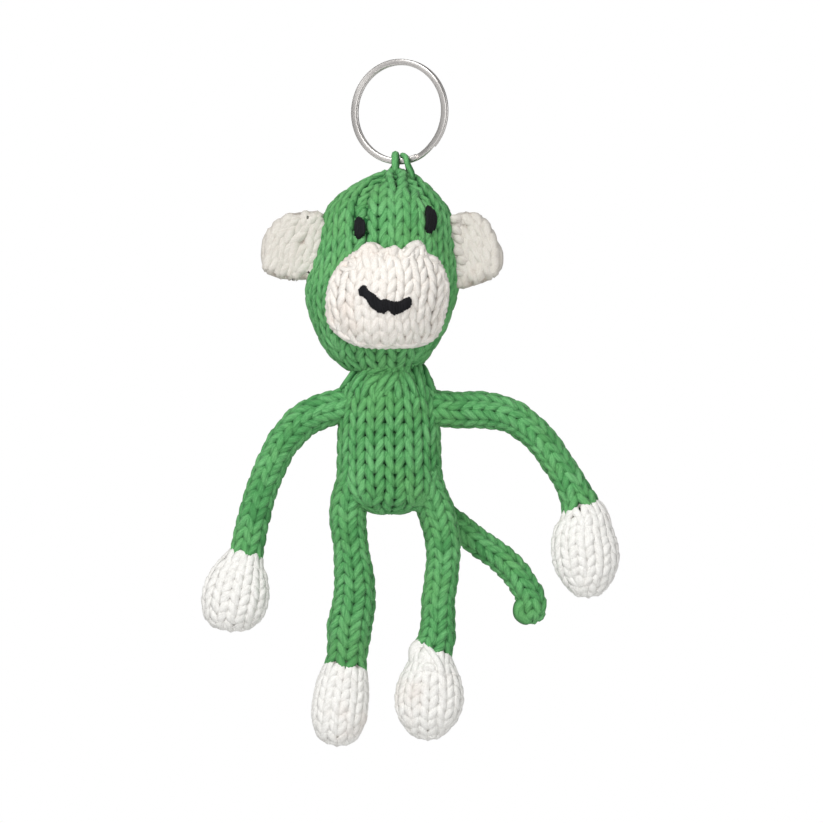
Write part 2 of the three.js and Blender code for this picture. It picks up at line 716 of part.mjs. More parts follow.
function rootHollow([limb, axis, angles], gap) {
  const root = limbPath(limb).at(0);
  const radius = root.halfWidth + gap;
  let hollow = alignedBall(root, radius);
  for (const degrees of angles) {
    const turn = new THREE.Quaternion().setFromAxisAngle(
      new THREE.Vector3(...axis), THREE.MathUtils.degToRad(degrees));
    const frame = { ...root };
    for (const key of ['along', 'width', 'depth']) frame[key] = root[key].clone().applyQuaternion(turn);
    hollow = hollow.add(facingOut([
      [frame.point], oval(frame, radius, radius), oval(frame, radius, radius, rootReach),
      [frame.point.clone().addScaledVector(frame.along, rootReach)],
    ]));
  }
  return hollow;
}

function torsoSolid(inset, gap) {
  const shape = inset > 0 ? { ...torso, rings: torsoLiningRings, sides: liningSides } : torso;
  let solid = ovalBody(shape, inset).add(ball(neckCentre, neck.ballRadius - inset));
  if (gap === null) return solid;
  for (const swing of swings) solid = solid.subtract(rootHollow(swing, gap));
  return solid;
}

const torsoMouth = new THREE.CylinderGeometry(neck.mouthRadius, neck.mouthRadius, mouthLength, liningSides);
torsoMouth.rotateX(Math.PI / 2);
torsoMouth.translate(neck.x, 0, neck.z + mouthLength / 2);
const torsoCavity = torsoSolid(clothThickness, null).add(solidOf(torsoMouth));
addNode('torso_cover', geometryOf(biggest(torsoSolid(0, swingGap).subtract(torsoCavity))), green);
addNode('torso_stuffing', geometryOf(biggest(
  torsoSolid(clothThickness + fillGap, swingGap + fillGap))), fibre);

// Limbs
for (const [side, arm] of Object.entries(arms)) {
  const [upper, fore] = limbPieces(arm);
  const { cover, filling } = stuffedEnd(arm);
  addNode(`${side}_upper_arm`, geometryOf(upper), green);
  addNode(`${side}_forearm`, geometryOf(fore), green);
  addNode(`${side}_hand`, geometryOf(cover), cream);
  addNode(`${side}_hand_stuffing`, geometryOf(filling), fibre);
}
for (const [side, leg] of Object.entries(legs)) {
  const [thigh, shin] = limbPieces(leg);
  const { cover, filling } = stuffedEnd(leg);
  addNode(`${side}_thigh`, geometryOf(thigh), green);
  addNode(`${side}_shin`, geometryOf(shin), green);
  addNode(`${side}_foot`, geometryOf(cover), cream);
  addNode(`${side}_foot_stuffing`, geometryOf(filling), fibre);
}
const [tailRoot, tailTip] = limbPieces(tail);
addNode('tail_root', geometryOf(tailRoot), green);
addNode('tail_tip', geometryOf(tailTip), green);

export default group;
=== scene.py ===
import math

import bpy
import numpy as np
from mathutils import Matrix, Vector


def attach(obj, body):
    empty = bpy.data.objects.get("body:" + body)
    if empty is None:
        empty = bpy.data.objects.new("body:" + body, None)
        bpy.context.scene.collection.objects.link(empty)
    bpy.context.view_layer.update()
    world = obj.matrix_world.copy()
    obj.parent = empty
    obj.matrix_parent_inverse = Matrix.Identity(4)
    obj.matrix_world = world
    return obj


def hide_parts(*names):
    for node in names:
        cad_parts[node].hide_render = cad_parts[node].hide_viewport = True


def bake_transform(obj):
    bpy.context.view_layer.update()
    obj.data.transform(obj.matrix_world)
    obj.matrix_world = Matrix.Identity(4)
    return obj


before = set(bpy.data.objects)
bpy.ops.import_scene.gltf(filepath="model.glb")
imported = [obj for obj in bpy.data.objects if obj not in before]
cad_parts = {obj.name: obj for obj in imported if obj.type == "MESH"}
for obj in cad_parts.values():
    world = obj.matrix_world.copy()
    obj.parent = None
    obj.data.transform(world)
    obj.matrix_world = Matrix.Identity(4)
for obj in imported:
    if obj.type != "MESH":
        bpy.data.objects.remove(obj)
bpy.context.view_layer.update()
print("frame loaded")

mm = 0.001
yarnPerMap = 10  # millimetres of yarn to one unit of its map
forward = (0.0, -1.0, 0.0)

# Camera: the photograph is 823 px wide, 0.264 mm to a pixel at the toy
view = {
    "middle": (3.17, -6.0, -91.9),
    "distance": 1250.0,
    "widthShown": 217.3,
}
cameraData = bpy.data.cameras.new("frontCamera")
cameraData.sensor_width = 36
cameraData.lens = cameraData.sensor_width * view["distance"] / view["widthShown"]
cameraData.clip_start = 0.05
cameraData.clip_end = 20
camera = bpy.data.objects.new("frontCamera", cameraData)
camera.location = (
    view["middle"][0] * mm,
    (view["middle"][1] - view["distance"]) * mm,
    view["middle"][2] * mm,
)
camera.rotation_euler = (math.radians(90), 0, 0)
bpy.context.scene.collection.objects.link(camera)
bpy.context.scene.camera = camera
bpy.context.scene.view_settings.view_transform = "Standard"
print("camera placed")


# Materials. A Socket stands for an output and adds Math nodes when it is used in a sum.
class Socket:
    def __init__(self, maker, socket):
        self.maker = maker
        self.socket = socket

    def math(self, operation, *values):
        return self.maker.node("Math", dict(enumerate(values)), operation=operation)

    def __add__(self, other):
        return self.math("ADD", self, other)

    def __sub__(self, other):
        return self.math("SUBTRACT", self, other)

    def __mul__(self, other):
        return self.math("MULTIPLY", self, other)

    def sine(self):
        return self.math("SINE", self)

    def size(self):
        return self.math("ABSOLUTE", self)


class Finish:
    def __init__(self, owner, outputKind="OutputMaterial"):
        owner.use_nodes = True
        self.owner = owner
        self.tree = owner.node_tree
        self.tree.nodes.clear()
        self.output = self.tree.nodes.new("ShaderNode" + outputKind)

    def node(self, kind, inputs=None, output=0, **settings):
        made = self.tree.nodes.new("ShaderNode" + kind)
        for key, value in settings.items():
            setattr(made, key, value)
        for key, value in (inputs or {}).items():
            if isinstance(value, Socket):
                self.tree.links.new(value.socket, made.inputs[key])
            else:
                made.inputs[key].default_value = value
        return Socket(self, made.outputs[output])

    def place(self):
        return self.node("TexCoord", output=3)

    def mix(self, factor, first, second):
        return self.node("Mix", {0: factor, 6: first, 7: second}, 2, data_type="RGBA")

    def noise(self, place, scale, detail, roughness):
        inputs = {"Vector": place, "Scale": scale, "Detail": detail, "Roughness": roughness}
        return self.node("TexNoise", inputs)

    def span(self, value, low, high, atLow, atHigh):
        return self.node("MapRange", {0: value, 1: low, 2: high, 3: atLow, 4: atHigh})

    def bump(self, strength, distance, height):
        inputs = {"Strength": strength, "Distance": distance * mm, "Height": height}
        return self.node("Bump", inputs)

    def finish(self, surface):
        self.tree.links.new(surface.socket, self.output.inputs["Surface"])
        return self.owner

    def solid(self, inputs):
        return self.finish(self.node("BsdfPrincipled", inputs))

    def glow(self, colour):
        return self.node("Emission", {"Color": colour, "Strength": 1.0})


def linear(red, green, blue):
    values = []
    for value in (red / 255, green / 255, blue / 255):
        values.append(value / 12.92 if value <= 0.04045 else ((value + 0.055) / 1.055) ** 2.4)
    return (*values, 1.0)


# Cotton yarn: soft plies, fine fibres along it, small changes of tone from stitch to stitch
# the last two values of each cotton are painted shade: how dark the sides of each strand and the grooves
# between its plies are drawn
greenCotton = {
    "main": linear(80, 151, 87),
    "pale": linear(112, 180, 116),
    "deep": linear(20, 82, 38),
    "fleck": linear(104, 168, 100),
    "fleckShare": 0.5,
    "edgeShade": 0.9,
    "plyShade": 0.38,
}
whiteCotton = {
    "main": linear(231, 230, 226),
    "pale": linear(240, 239, 236),
    "deep": linear(150, 144, 136),
    "fleck": linear(226, 214, 206),
    "fleckShare": 0.62,
    "edgeShade": 0.1,
    "plyShade": 0.16,
}
creamCotton = {
    "main": linear(230, 225, 218),
    "pale": linear(240, 237, 232),
    "deep": linear(164, 148, 134),
    "fleck": linear(220, 204, 192),
    "fleckShare": 0.58,
    "edgeShade": 0.1,
    "plyShade": 0.16,
}
blackCotton = {
    "main": linear(19, 19, 22),
    "pale": linear(29, 29, 33),
    "deep": linear(8, 8, 10),
    "fleck": linear(24, 24, 28),
    "fleckShare": 0.7,
    "edgeShade": 0.3,
    "plyShade": 0.38,
}
# the ears' cream is drawn darker than the muzzle's: painted shade on the flat ears, which face the lamps
# more fully
earShadedCotton = dict(
    creamCotton, main=linear(204, 200, 192), pale=linear(214, 211, 204), edgeShade=0.06
)
# A noise is its scale, detail and roughness; a span is its two places and its values there.
cottonGrain = {
    "plies": 3,
    "plyLength": 5.2,
    "streakStretch": (7.0, 26.0, 0.7),
    "streakNoise": (1.0, 3.0, 0.6),
    "patchNoise": (95.0, 2.0, 0.5),
    "fuzzNoise": (2600.0, 3.0, 0.7),
    "lightSpan": (0.38, 0.68, 0.0, 1.0),
    "plyShadeSpan": (0.15, 0.75, 1.0, 0.0),
    "fibreSpan": (0.35, 0.6, 0.22, 0.0),
    "hollowShadeSpan": (0.16, 0.42, 0.75, 0.0),
    "edgeShadeSpan": (0.08, 0.25, 0.0),
    "fleckReach": (-0.06, 0.16),
    "fleckMost": 0.5,
    "relief": (0.55, 0.35, 0.3),
    "bumpStrength": 0.75,
    "surface": {"Roughness": 0.9, "Specular IOR Level": 0.25, "Sheen Roughness": 0.5},
}
fillGrain = {
    "noise": (900.0, 4.0, 0.7),
    "bump": (0.8, 0.3),
    "surface": {"Roughness": 1.0, "Specular IOR Level": 0.1},
}
steelLook = {
    "dark": linear(200, 196, 193),
    "pale": linear(224, 221, 218),
    "grainNoise": (420.0, 5.0, 0.65),
    "smearNoise": (55.0, 0.0, 0.5),
    "roughSpan": (0.3, 0.7, 0.3, 0.4),
    "bump": (1.0, 2.4),
}


def cottonFinish(name, look, sheen=0.06, bumpSize=0.16):
    f = Finish(bpy.data.materials.new(name))
    grain = cottonGrain
    yarnMap = f.node("UVMap", uv_map="yarn")
    along, around = (f.node("SeparateXYZ", {0: yarnMap}, k) for k in (0, 1))
    twist = around + along * (yarnPerMap / grain["plyLength"] / grain["plies"])
    ply = (twist * (math.pi * grain["plies"])).sine().size()
    first, second, third = grain["streakStretch"]
    stretched = {0: along * first, 1: twist * second, 2: along * third}
    streak = f.noise(f.node("CombineXYZ", stretched), *grain["streakNoise"])
    place = f.place()
    patch = f.noise(place, *grain["patchNoise"])
    fuzz = f.noise(place, *grain["fuzzNoise"])
    # the tone attribute holds each stitch's own tone and the painted shade of its sunk ends
    tone = f.node("Attribute", output=2, attribute_name="tone")
    light = f.span(streak + tone - 0.5, *grain["lightSpan"])
    # painted shade in the grooves between the plies
    dark = f.span(ply + streak * 0.5, *grain["plyShadeSpan"]) * look["plyShade"]
    # fine fibres break the colour up, and painted shade deepens it where a stitch dives under the next
    fibre = f.span(fuzz, *grain["fibreSpan"])
    hollowShade = f.span(tone, *grain["hollowShadeSpan"])
    # painted shade: the sides of each strand, where the yarn turns away from the light, are drawn darker
    edge = f.span((around - 0.5).size(), *grain["edgeShadeSpan"], look["edgeShade"])
    low, high = (look["fleckShare"] + reach for reach in grain["fleckReach"])
    fleck = f.span(patch, low, high, 0.0, grain["fleckMost"])
    colour = f.mix(light, look["main"], look["pale"])
    colour = f.mix(fleck, colour, look["fleck"])
    for shade in (dark, fibre, hollowShade, edge):
        colour = f.mix(shade, colour, look["deep"])
    ofPly, ofStreak, ofFuzz = grain["relief"]
    bump = f.bump(grain["bumpStrength"], bumpSize, ply * ofPly + streak * ofStreak + fuzz * ofFuzz)
    return f.solid(
        {"Base Color": colour, "Sheen Weight": sheen, "Normal": bump, **grain["surface"]}
    )


def fillFinish(name, colour, deep):
    f = Finish(bpy.data.materials.new(name))
    fibre = f.noise(f.place(), *fillGrain["noise"])
    bump = f.bump(*fillGrain["bump"], fibre)
    return f.solid(
        {"Base Color": f.mix(fibre, deep, colour), "Normal": bump, **fillGrain["surface"]}
    )


def steelFinish():
    f = Finish(bpy.data.materials.new("ringSteel"))
    place = f.place()
    grain = f.noise(place, *steelLook["grainNoise"])
    smear = f.noise(place, *steelLook["smearNoise"])
    colour = f.mix(grain, steelLook["dark"], steelLook["pale"])
    rough = f.span(smear, *steelLook["roughSpan"])
    bump = f.bump(*steelLook["bump"], smear)
    return f.solid({"Base Color": colour, "Metallic": 1.0, "Roughness": rough, "Normal": bump})


greenYarn = cottonFinish("greenYarn", greenCotton)
creamYarn = cottonFinish("creamYarn", creamCotton, bumpSize=0.11)
# the ear finish is a darker copy of the cream, as painted shade
earYarnFinish = cottonFinish("earYarn", earShadedCotton, bumpSize=0.11)
blackYarn = cottonFinish("blackYarn", blackCotton, sheen=0.0, bumpSize=0.06)
whiteYarn = cottonFinish("whiteYarn", whiteCotton, bumpSize=0.11)
# the fills and cores under the knit are coloured darker than the yarn: painted shade for the inside seen
# through the gaps
greenShade = fillFinish("greenShade", linear(44, 112, 58), linear(24, 78, 40))
creamShade = fillFinish("creamShade", linear(190, 180, 168), linear(138, 124, 112))
ringSteel = steelFinish()
print("finishes made")


# Curves and forms, in millimetres. A form is a tube of ovals along a route.
def smoothTable(rows):
    table = np.array(rows, float)
    x = table[:, 0]
    y = table[:, 1:]
    slope = np.empty_like(y)
    slope[1:-1] = (y[2:] - y[:-2]) / (x[2:] - x[:-2])[:, None]
    slope[0] = (y[1] - y[0]) / (x[1] - x[0])
    slope[-1] = (y[-1] - y[-2]) / (x[-1] - x[-2])

    def at(place):
        q = np.clip(np.asarray(place, float), x[0], x[-1])
        i = np.clip(np.searchsorted(x, q, side="right") - 1, 0, len(x) - 2)
        h = (x[i + 1] - x[i])[..., None]
        t = ((q - x[i]) / (x[i + 1] - x[i]))[..., None]
        return (
            (2 * t**3 - 3 * t**2 + 1) * y[i]
            + (t**3 - 2 * t**2 + t) * h * slope[i]
            + (3 * t**2 - 2 * t**3) * y[i + 1]
            + (t**3 - t**2) * h * slope[i + 1]
        )

    return at


def unit(vectors):
    return vectors / np.maximum(np.linalg.norm(vectors, axis=-1, keepdims=True), 1e-9)


def running(steps):
    return np.concatenate([[0], np.cumsum(steps)])


def runLength(path):
    return running(np.linalg.norm(np.diff(path, axis=0), axis=1))


def metres(*spots):
    return [tuple(float(value) * mm for value in spot) for spot in spots]


def rowsAt(place, places, rows):
    return np.stack([np.interp(place, places, rows[:, k]) for k in range(3)], axis=-1)


fineSteps = 24


def finePath(points, perPart=fineSteps):
    # a centripetal Catmull-Rom curve through the points
    p = np.array(points, float)
    p = np.vstack([2 * p[0] - p[1], p, 2 * p[-1] - p[-2]])
    steps = np.sqrt(np.linalg.norm(np.diff(p, axis=0), axis=1))
    knot = running(steps)
    out = []
    for i in range(1, len(p) - 2):
        t = np.linspace(knot[i], knot[i + 1], perPart, endpoint=False)[:, None]
        a, b, c, d = knot[i - 1 : i + 3]
        u = (b - t) / (b - a) * p[i - 1] + (t - a) / (b - a) * p[i]
        v = (c - t) / (c - b) * p[i] + (t - b) / (c - b) * p[i + 1]
        w = (d - t) / (d - c) * p[i + 1] + (t - c) / (d - c) * p[i + 2]
        u = (c - t) / (c - a) * u + (t - a) / (c - a) * v
        w = (d - t) / (d - b) * v + (t - b) / (d - b) * w
        out.append((c - t) / (c - b) * u + (t - b) / (c - b) * w)
    out.append(p[-2][None])
    return np.vstack(out)


def frontPath(spots, perPart=6):
    # a path through places seen from the front
    return finePath([(x, 0.0, z) for x, z in spots], perPart)


def evenPitch(length, pitch):
    count = round(length / pitch)
    return count, length / count


class TubeForm:
    bodySteps = 520
    tipSteps = 80
    endReach = 2.0
    leastHalf = 0.3
    leastCore = 0.25

    def __init__(self, route, girths, lead=(), level=False):
        self.path = finePath([*lead, *route])
        self.gone = runLength(self.path)
        self.length = self.gone[-1]
        self.root = self.gone[fineSteps * len(lead)]
        girths = [(s + self.root, wide, deep) for s, wide, deep in girths]
        self.lastGirth = girths[-1][0]
        self.girthTable = smoothTable(girths)
        self.level = level
        self.slopes = unit(np.gradient(self.path, self.gone, axis=0))
        tip = np.sin(np.linspace(0, math.pi / 2, self.tipSteps))
        body = np.linspace(0, self.lastGirth, self.bodySteps, endpoint=False)
        s = np.concatenate([body, self.lastGirth + (self.length - self.lastGirth) * tip])
        radius = self.girth(s).mean(axis=1)
        self.skinPlaces = running(np.hypot(np.diff(s), np.diff(radius)))
        self.skinLength = self.skinPlaces[-1]
        self.axisPlaces = s

    def girth(self, s):
        wide = self.girthTable(np.minimum(s, self.lastGirth))
        reach = max(self.length - self.lastGirth, 1e-6)
        share = np.clip((s - self.lastGirth) / reach, 0, 1)
        return wide * np.sqrt(np.clip(1 - share**2, 1e-4, 1))[..., None]

    def axisAt(self, skinPlace):
        return np.interp(skinPlace, self.skinPlaces, self.axisPlaces)

    def skinAt(self, s):
        return np.interp(s, self.axisPlaces, self.skinPlaces)

    def frameAt(self, s):
        point = rowsAt(s, self.gone, self.path)
        if self.level:
            along = np.broadcast_to([0.0, 0.0, -1.0], point.shape)
        else:
            along = unit(rowsAt(s, self.gone, self.slopes))
        depth = unit(np.array([0.0, 1.0, 0.0]) - along * along[..., 1:2])
        width = np.cross(along, depth)
        return point, along, width, depth

    def halves(self, s, inset):
        return np.maximum(self.girth(np.array(s)) - inset, self.leastHalf)

    def around(self, s, share, inset):
        # the angle at an equal share of the girth, from the front round by the wide side
        halfWidth, halfDepth = self.halves(s, inset)
        angle = np.linspace(-0.5 * math.pi, 1.5 * math.pi, 361)
        x = halfWidth * np.cos(angle)
        y = halfDepth * np.sin(angle)
        gone = running(np.hypot(np.diff(x), np.diff(y)))
        whole = np.floor(share)
        return np.interp(share - whole, gone / gone[-1], angle) + whole * 2 * math.pi

    def shareOf(self, s, x, inset):
        # the share at which the front of the form has this x
        halfWidth = float(self.halves(s, inset)[0])
        centre = self.frameAt(np.array(s))[0][0]
        target = -0.5 * math.pi + math.asin(min(max((x - centre) / halfWidth, -0.99), 0.99))
        shares = np.linspace(-0.5, 0.5, 201)
        return float(np.interp(target, self.around(s, shares, inset), shares))

    def perimeter(self, s, inset):
        halfWidth, halfDepth = self.halves(s, inset)
        return math.pi * (
            3 * (halfWidth + halfDepth)
            - math.sqrt((3 * halfWidth + halfDepth) * (halfWidth + 3 * halfDepth))
        )

    def skin(self, skinPlace, angle):
        s = self.axisAt(skinPlace)
        point, _, width, depth = self.frameAt(s)
        half = self.girth(s)
        return (
            point
            + width * (half[..., :1] * np.cos(angle)[..., None])
            + depth * (half[..., 1:] * np.sin(angle)[..., None])
        )

    def place(self, skinPlace, angle, lift):
        # the point at this lift over the skin, and the way out from there
        step = 0.25
        turnStep = 0.02
        here = self.skin(skinPlace, angle)
        low = np.clip(skinPlace - step, 0, self.skinLength)
        high = np.clip(skinPlace + step, 0, self.skinLength)
        down = self.skin(high, angle) - self.skin(low, angle)
        turn = self.skin(skinPlace, angle + turnStep) - self.skin(skinPlace, angle - turnStep)
        out = unit(np.cross(turn, down))
        s = self.axisAt(skinPlace)
        point = self.frameAt(np.clip(s, self.endReach, self.length - self.endReach))[0]
        flip = np.sum(out * (here - point), axis=-1, keepdims=True) < 0
        out = np.where(flip, -out, out)
        half = self.girth(s).min(axis=-1)
        depth = np.maximum(lift, self.leastCore - half)
        return here + out * depth[..., None], out


# Knitting. A round is a list of stitches; each stitch stands on the nearest one of the round below it.
chance = np.random.RandomState(11)
looseShares = {"sideways": 0.35, "width": 0.7}
endGap = 0.02
baseReach = 0.6
thinning = {"least": 0.35, "room": 3.6}


def stitchShape(yarn, closing=False):
    # one stitch from foot to foot: its sideways and upward places, how far it sinks, and its width
    t = 2 * math.pi * np.arange(yarn["steps"]) / yarn["steps"]
    rise = (1 - np.cos(t)) / 2
    lean = np.where(t <= math.pi, yarn["leanLeft"], yarn["leanRight"])
    out = 2 * (t / (2 * math.pi) - 0.5 + lean * np.sin(2 * t))
    loose = np.sin(t / 2) ** 2
    dive = np.abs(np.cos(t)) ** yarn["divePower"]
    sunk = dive * np.clip(2 * rise, 0, 1) if closing else dive
    lift = -yarn["radius"] * yarn["flat"] * (1 + 2 * yarn["bulge"] * sunk)
    width = yarn["radius"] * (yarn["swell"] - yarn["pinch"] * dive)
    return t, rise, out, loose, sunk, lift, width


def shaken(loose, spread, count):
    return loose * chance.normal(0, spread, (count, 1))


def stitchTone(count, sunk, yarn):
    # each stitch has its own tone, and its sunk ends are painted darker as shade
    own = yarn["tone"] + chance.normal(0, yarn["toneSpread"], (count, 1))
    return own - yarn["shade"] * sunk[None, :]


def nearestStitch(shares, below):
    # columns that go on stay in line; other stitches stand on the nearest one below
    if len(shares) == len(below) and np.abs(shares - below).max() < baseReach / len(shares):
        return below
    tripled = np.concatenate([below - 1, below, below + 1])
    return tripled[np.argmin(np.abs(shares[:, None] - tripled[None, :]), axis=1)]


def stitchHalves(t, shares):
    # half the way to the stitch before and to the stitch after
    before = np.insert(shares[:-1], 0, shares[-1] - 1)
    after = np.append(shares[1:], shares[0] + 1)
    return np.where(t <= math.pi, (shares - before)[:, None] / 2, (after - shares)[:, None] / 2)


def roundCurve(form, knit, below, closing):
    # the yarn of one closed round: foot, leg, head, leg and on to the next foot
    skinPlace, pitch, shares, yarn = (knit[key] for key in ("place", "pitch", "shares", "yarn"))
    t, rise, out, loose, sunk, lift, width = stitchShape(yarn, closing)
    count = len(shares)
    half = stitchHalves(t, below) * (1 - rise) + stitchHalves(t, shares) * rise
    jitter = yarn["jitter"]
    sideways = jitter * looseShares["sideways"] / max(count, 3)
    share = below[:, None] * (1 - rise) + shares[:, None] * rise + out * half
    share = share + shaken(loose, sideways, count)
    s = skinPlace + yarn["reach"] * pitch * np.cos(t)[None, :]
    s = s + shaken(loose, jitter * pitch, count)
    lift = lift + shaken(loose, jitter * yarn["radius"], count)
    for middle, halfWidth, depth in knit["dents"]:
        lift = lift - depth * np.exp(-(((share - middle + 0.5) % 1 - 0.5) / halfWidth) ** 2)
    width = width * (1 + chance.normal(0, jitter * looseShares["width"], (count, 1)))
    tone = stitchTone(count, sunk, yarn)
    axisPlace = form.axisAt(skinPlace)
    angle = form.around(axisPlace, share.ravel(), yarn["radius"] * (1 + yarn["bulge"]))
    s = np.clip(s.ravel(), endGap, form.skinLength - endGap)
    points, out = form.place(s, angle, lift.ravel())
    # the yarn is drawn thinner where a round closes to a point
    room = form.girth(form.axisAt(s)).min(axis=-1)
    width = width.ravel() * np.clip(thinning["least"] + room / thinning["room"], 0, 1)
    return points, out, width, tone.ravel()


def gridFaces(rows, sides, count):
    # four-sided faces from each ring of points to the next, with the row and the side of each
    i = np.repeat(np.arange(rows), sides)
    j = np.tile(np.arange(sides), rows)
    nextI = (i + 1) % count
    nextJ = (j + 1) % sides
    corners = [i * sides + j, i * sides + nextJ, nextI * sides + nextJ, nextI * sides + j]
    return np.stack(corners, axis=1), i, j


def fanFaces(start, sides, tip, turned):
    # triangles from a ring of points to one tip
    j = np.arange(sides)
    nextJ = (j + 1) % sides
    rim = (nextJ, j) if turned else (j, nextJ)
    return np.stack([start + rim[0], start + rim[1], np.full(sides, tip)], axis=1)


class YarnMesh:
    capReach = 0.6

    def __init__(self):
        self.points = []
        self.faces = []
        self.maps = []
        self.tones = []
        self.finishes = []
        self.total = 0

    def addPoints(self, points, tones):
        first = self.total
        self.points.append(points)
        self.tones.append(tones)
        self.total += len(points)
        return first

    def addFaces(self, faces, u, v, finish):
        self.faces.append(faces)
        self.maps.append(np.stack([u, v], axis=-1).reshape(-1, 2))
        self.finishes.append(np.full(len(faces), finish))

    def strand(self, points, out, width, tone, closed, finish=0, sides=6, flat=1.0):
        # a yarn along the points; out says where its flat side looks
        count = len(points)
        width = np.broadcast_to(width, count)
        tone = np.broadcast_to(tone, count)
        if closed:
            ahead = np.roll(points, -1, axis=0) - np.roll(points, 1, axis=0)
        else:
            ahead = np.gradient(points, axis=0)
        ahead = unit(ahead)
        side = unit(np.cross(ahead, out))
        up = np.cross(side, ahead)
        angle = 2 * math.pi * np.arange(sides) / sides - math.pi / 2
        ring = (
            points[:, None]
            + side[:, None] * (width[:, None] * np.cos(angle))[..., None]
            + up[:, None] * (flat * width[:, None] * np.sin(angle))[..., None]
        )
        gone = runLength(points) + chance.uniform(0, 50)
        first = self.addPoints(ring.reshape(-1, 3), np.repeat(tone, sides))
        faces, i, j = gridFaces(count if closed else count - 1, sides, count)
        goneNext = np.append(gone[1:], gone[-1] + (gone[-1] - gone[-2]))
        u = np.stack([gone[i], gone[i], goneNext[i], goneNext[i]], axis=1) / yarnPerMap
        v = np.stack([j, j + 1, j + 1, j], axis=1) / sides
        self.addFaces(faces + first, u, v, finish)
        if not closed:
            for end, before in ((0, 1), (count - 1, count - 2)):
                reach = self.capReach * width[end] * unit(points[end] - points[before])
                tip = self.addPoints((points[end] + reach)[None], tone[end : end + 1])
                self.cap(first + end * sides, sides, tip, end > 0, gone[end], finish)

    def cap(self, start, sides, tip, atEnd, gone, finish):
        faces = fanFaces(start, sides, tip, not atEnd)
        j = np.arange(sides)
        u = np.full((sides, 3), gone / yarnPerMap)
        v = np.stack([j, j + 1, j + 0.5], axis=1) / sides
        self.addFaces(faces, u, v, finish)

    def shell(self, points, finish):
        # a closed skin of level rings under the stitches, points[ring, side]
        rings, sides, _ = points.shape
        ends = np.stack([points[0].mean(axis=0), points[-1].mean(axis=0)])
        whole = np.vstack([points.reshape(-1, 3), ends])
        first = self.addPoints(whole, np.full(len(whole), 0.5))
        quads, _, _ = gridFaces(rings - 1, sides, rings)
        top = fanFaces(0, sides, rings * sides, False)
        foot = fanFaces((rings - 1) * sides, sides, rings * sides + 1, True)
        for faces in (quads[:, [0, 3, 2, 1]], top, foot):
            unmapped = np.zeros(faces.shape)
            self.addFaces(faces + first, unmapped, unmapped, finish)

    def build(self, name, finishes):
        points = np.vstack(self.points) * mm
        loops = np.concatenate([faces.ravel() for faces in self.faces])
        sizes = np.concatenate([np.full(len(faces), faces.shape[1]) for faces in self.faces])
        starts = np.concatenate([[0], np.cumsum(sizes)[:-1]])
        mesh = bpy.data.meshes.new(name)
        mesh.vertices.add(len(points))
        mesh.vertices.foreach_set("co", points.astype(np.float32).ravel())
        mesh.loops.add(len(loops))
        mesh.loops.foreach_set("vertex_index", loops.astype(np.int32))
        mesh.polygons.add(len(sizes))
        mesh.polygons.foreach_set("loop_start", starts.astype(np.int32))
        mesh.polygons.foreach_set("material_index", np.concatenate(self.finishes).astype(np.int32))
        mesh.update(calc_edges=True)
        mesh.uv_layers.new(name="yarn")
        mesh.uv_layers["yarn"].data.foreach_set("uv", np.vstack(self.maps).astype(np.float32).ravel())
        tone = mesh.attributes.new("tone", "FLOAT", "POINT")
        tone.data.foreach_set("value", np.concatenate(self.tones).astype(np.float32))
        mesh.polygons.foreach_set("use_smooth", np.ones(len(sizes), bool))
        for finish in finishes:
            mesh.materials.append(finish)
        mesh.validate()
        made = bpy.data.objects.new(name, mesh)
        bpy.context.scene.collection.objects.link(made)
        return made


def shellRings(form, start, end, inset, rings, sides):
    angle = 2 * math.pi * np.arange(sides) / sides
    points = []
    for skinPlace in np.linspace(start, end, rings):
        places = np.full(sides, np.clip(skinPlace, endGap, form.skinLength - endGap))
        points.append(form.place(places, angle, -inset)[0])
    return np.array(points)


def fillPiece(name, form, start, end, inset, finish, rings=16, sides=24):
    mesh = YarnMesh()
    mesh.shell(shellRings(form, start, end, inset, rings, sides), 0)
    return mesh.build(name, [finish])


knitYarn = {
    "radius": 1.14,
    "flat": 0.94,
    "bulge": 0.55,
    "swell": 1.06,
    "pinch": 0.26,
    "divePower": 3.0,
    "reach": 0.92,
    "leanLeft": 0.22,
    "leanRight": 0.23,
    "jitter": 0.05,
    "shade": 0.28,
    "tone": 0.52,
    "toneSpread": 0.07,
    "steps": 16,
}
limbYarn = dict(knitYarn, radius=1.27, reach=0.95, leanLeft=0.245, leanRight=0.26, jitter=0.06)
# the head's stitches take a paler tone and less painted shade at their sunk ends than the torso's: painted
# light on the head
headYarn = dict(knitYarn, bulge=0.45, tone=0.58, shade=0.2, jitter=0.06)
crownYarn = dict(headYarn, radius=1.0, tone=0.56, jitter=0.09)
creamKnit = dict(
    knitYarn, radius=1.24, flat=0.58, bulge=0.7, pinch=0.56, divePower=4.5, reach=0.93, leanLeft=0.21,
    leanRight=0.22, shade=0.6, toneSpread=0.03,
)
yarnDepth = 1.2


def knitRound(place, pitch, shares, yarn, finish=0, dents=()):
    return {
        "place": place, "pitch": pitch, "shares": shares, "yarn": yarn, "finish": finish, "dents": dents,
    }


def knitRounds(mesh, form, rounds, belowRound=None):
    # rounds run from the start of the form to its far end; each stands on the next one
    for i, knit in enumerate(rounds):
        below = rounds[i + 1] if i + 1 < len(rounds) else belowRound
        if below is None:
            base = knit["shares"]
        else:
            base = nearestStitch(knit["shares"], below["shares"])
        curve = roundCurve(form, knit, base, below is None)
        mesh.strand(*curve, closed=True, finish=knit["finish"], flat=knit["yarn"]["flat"])


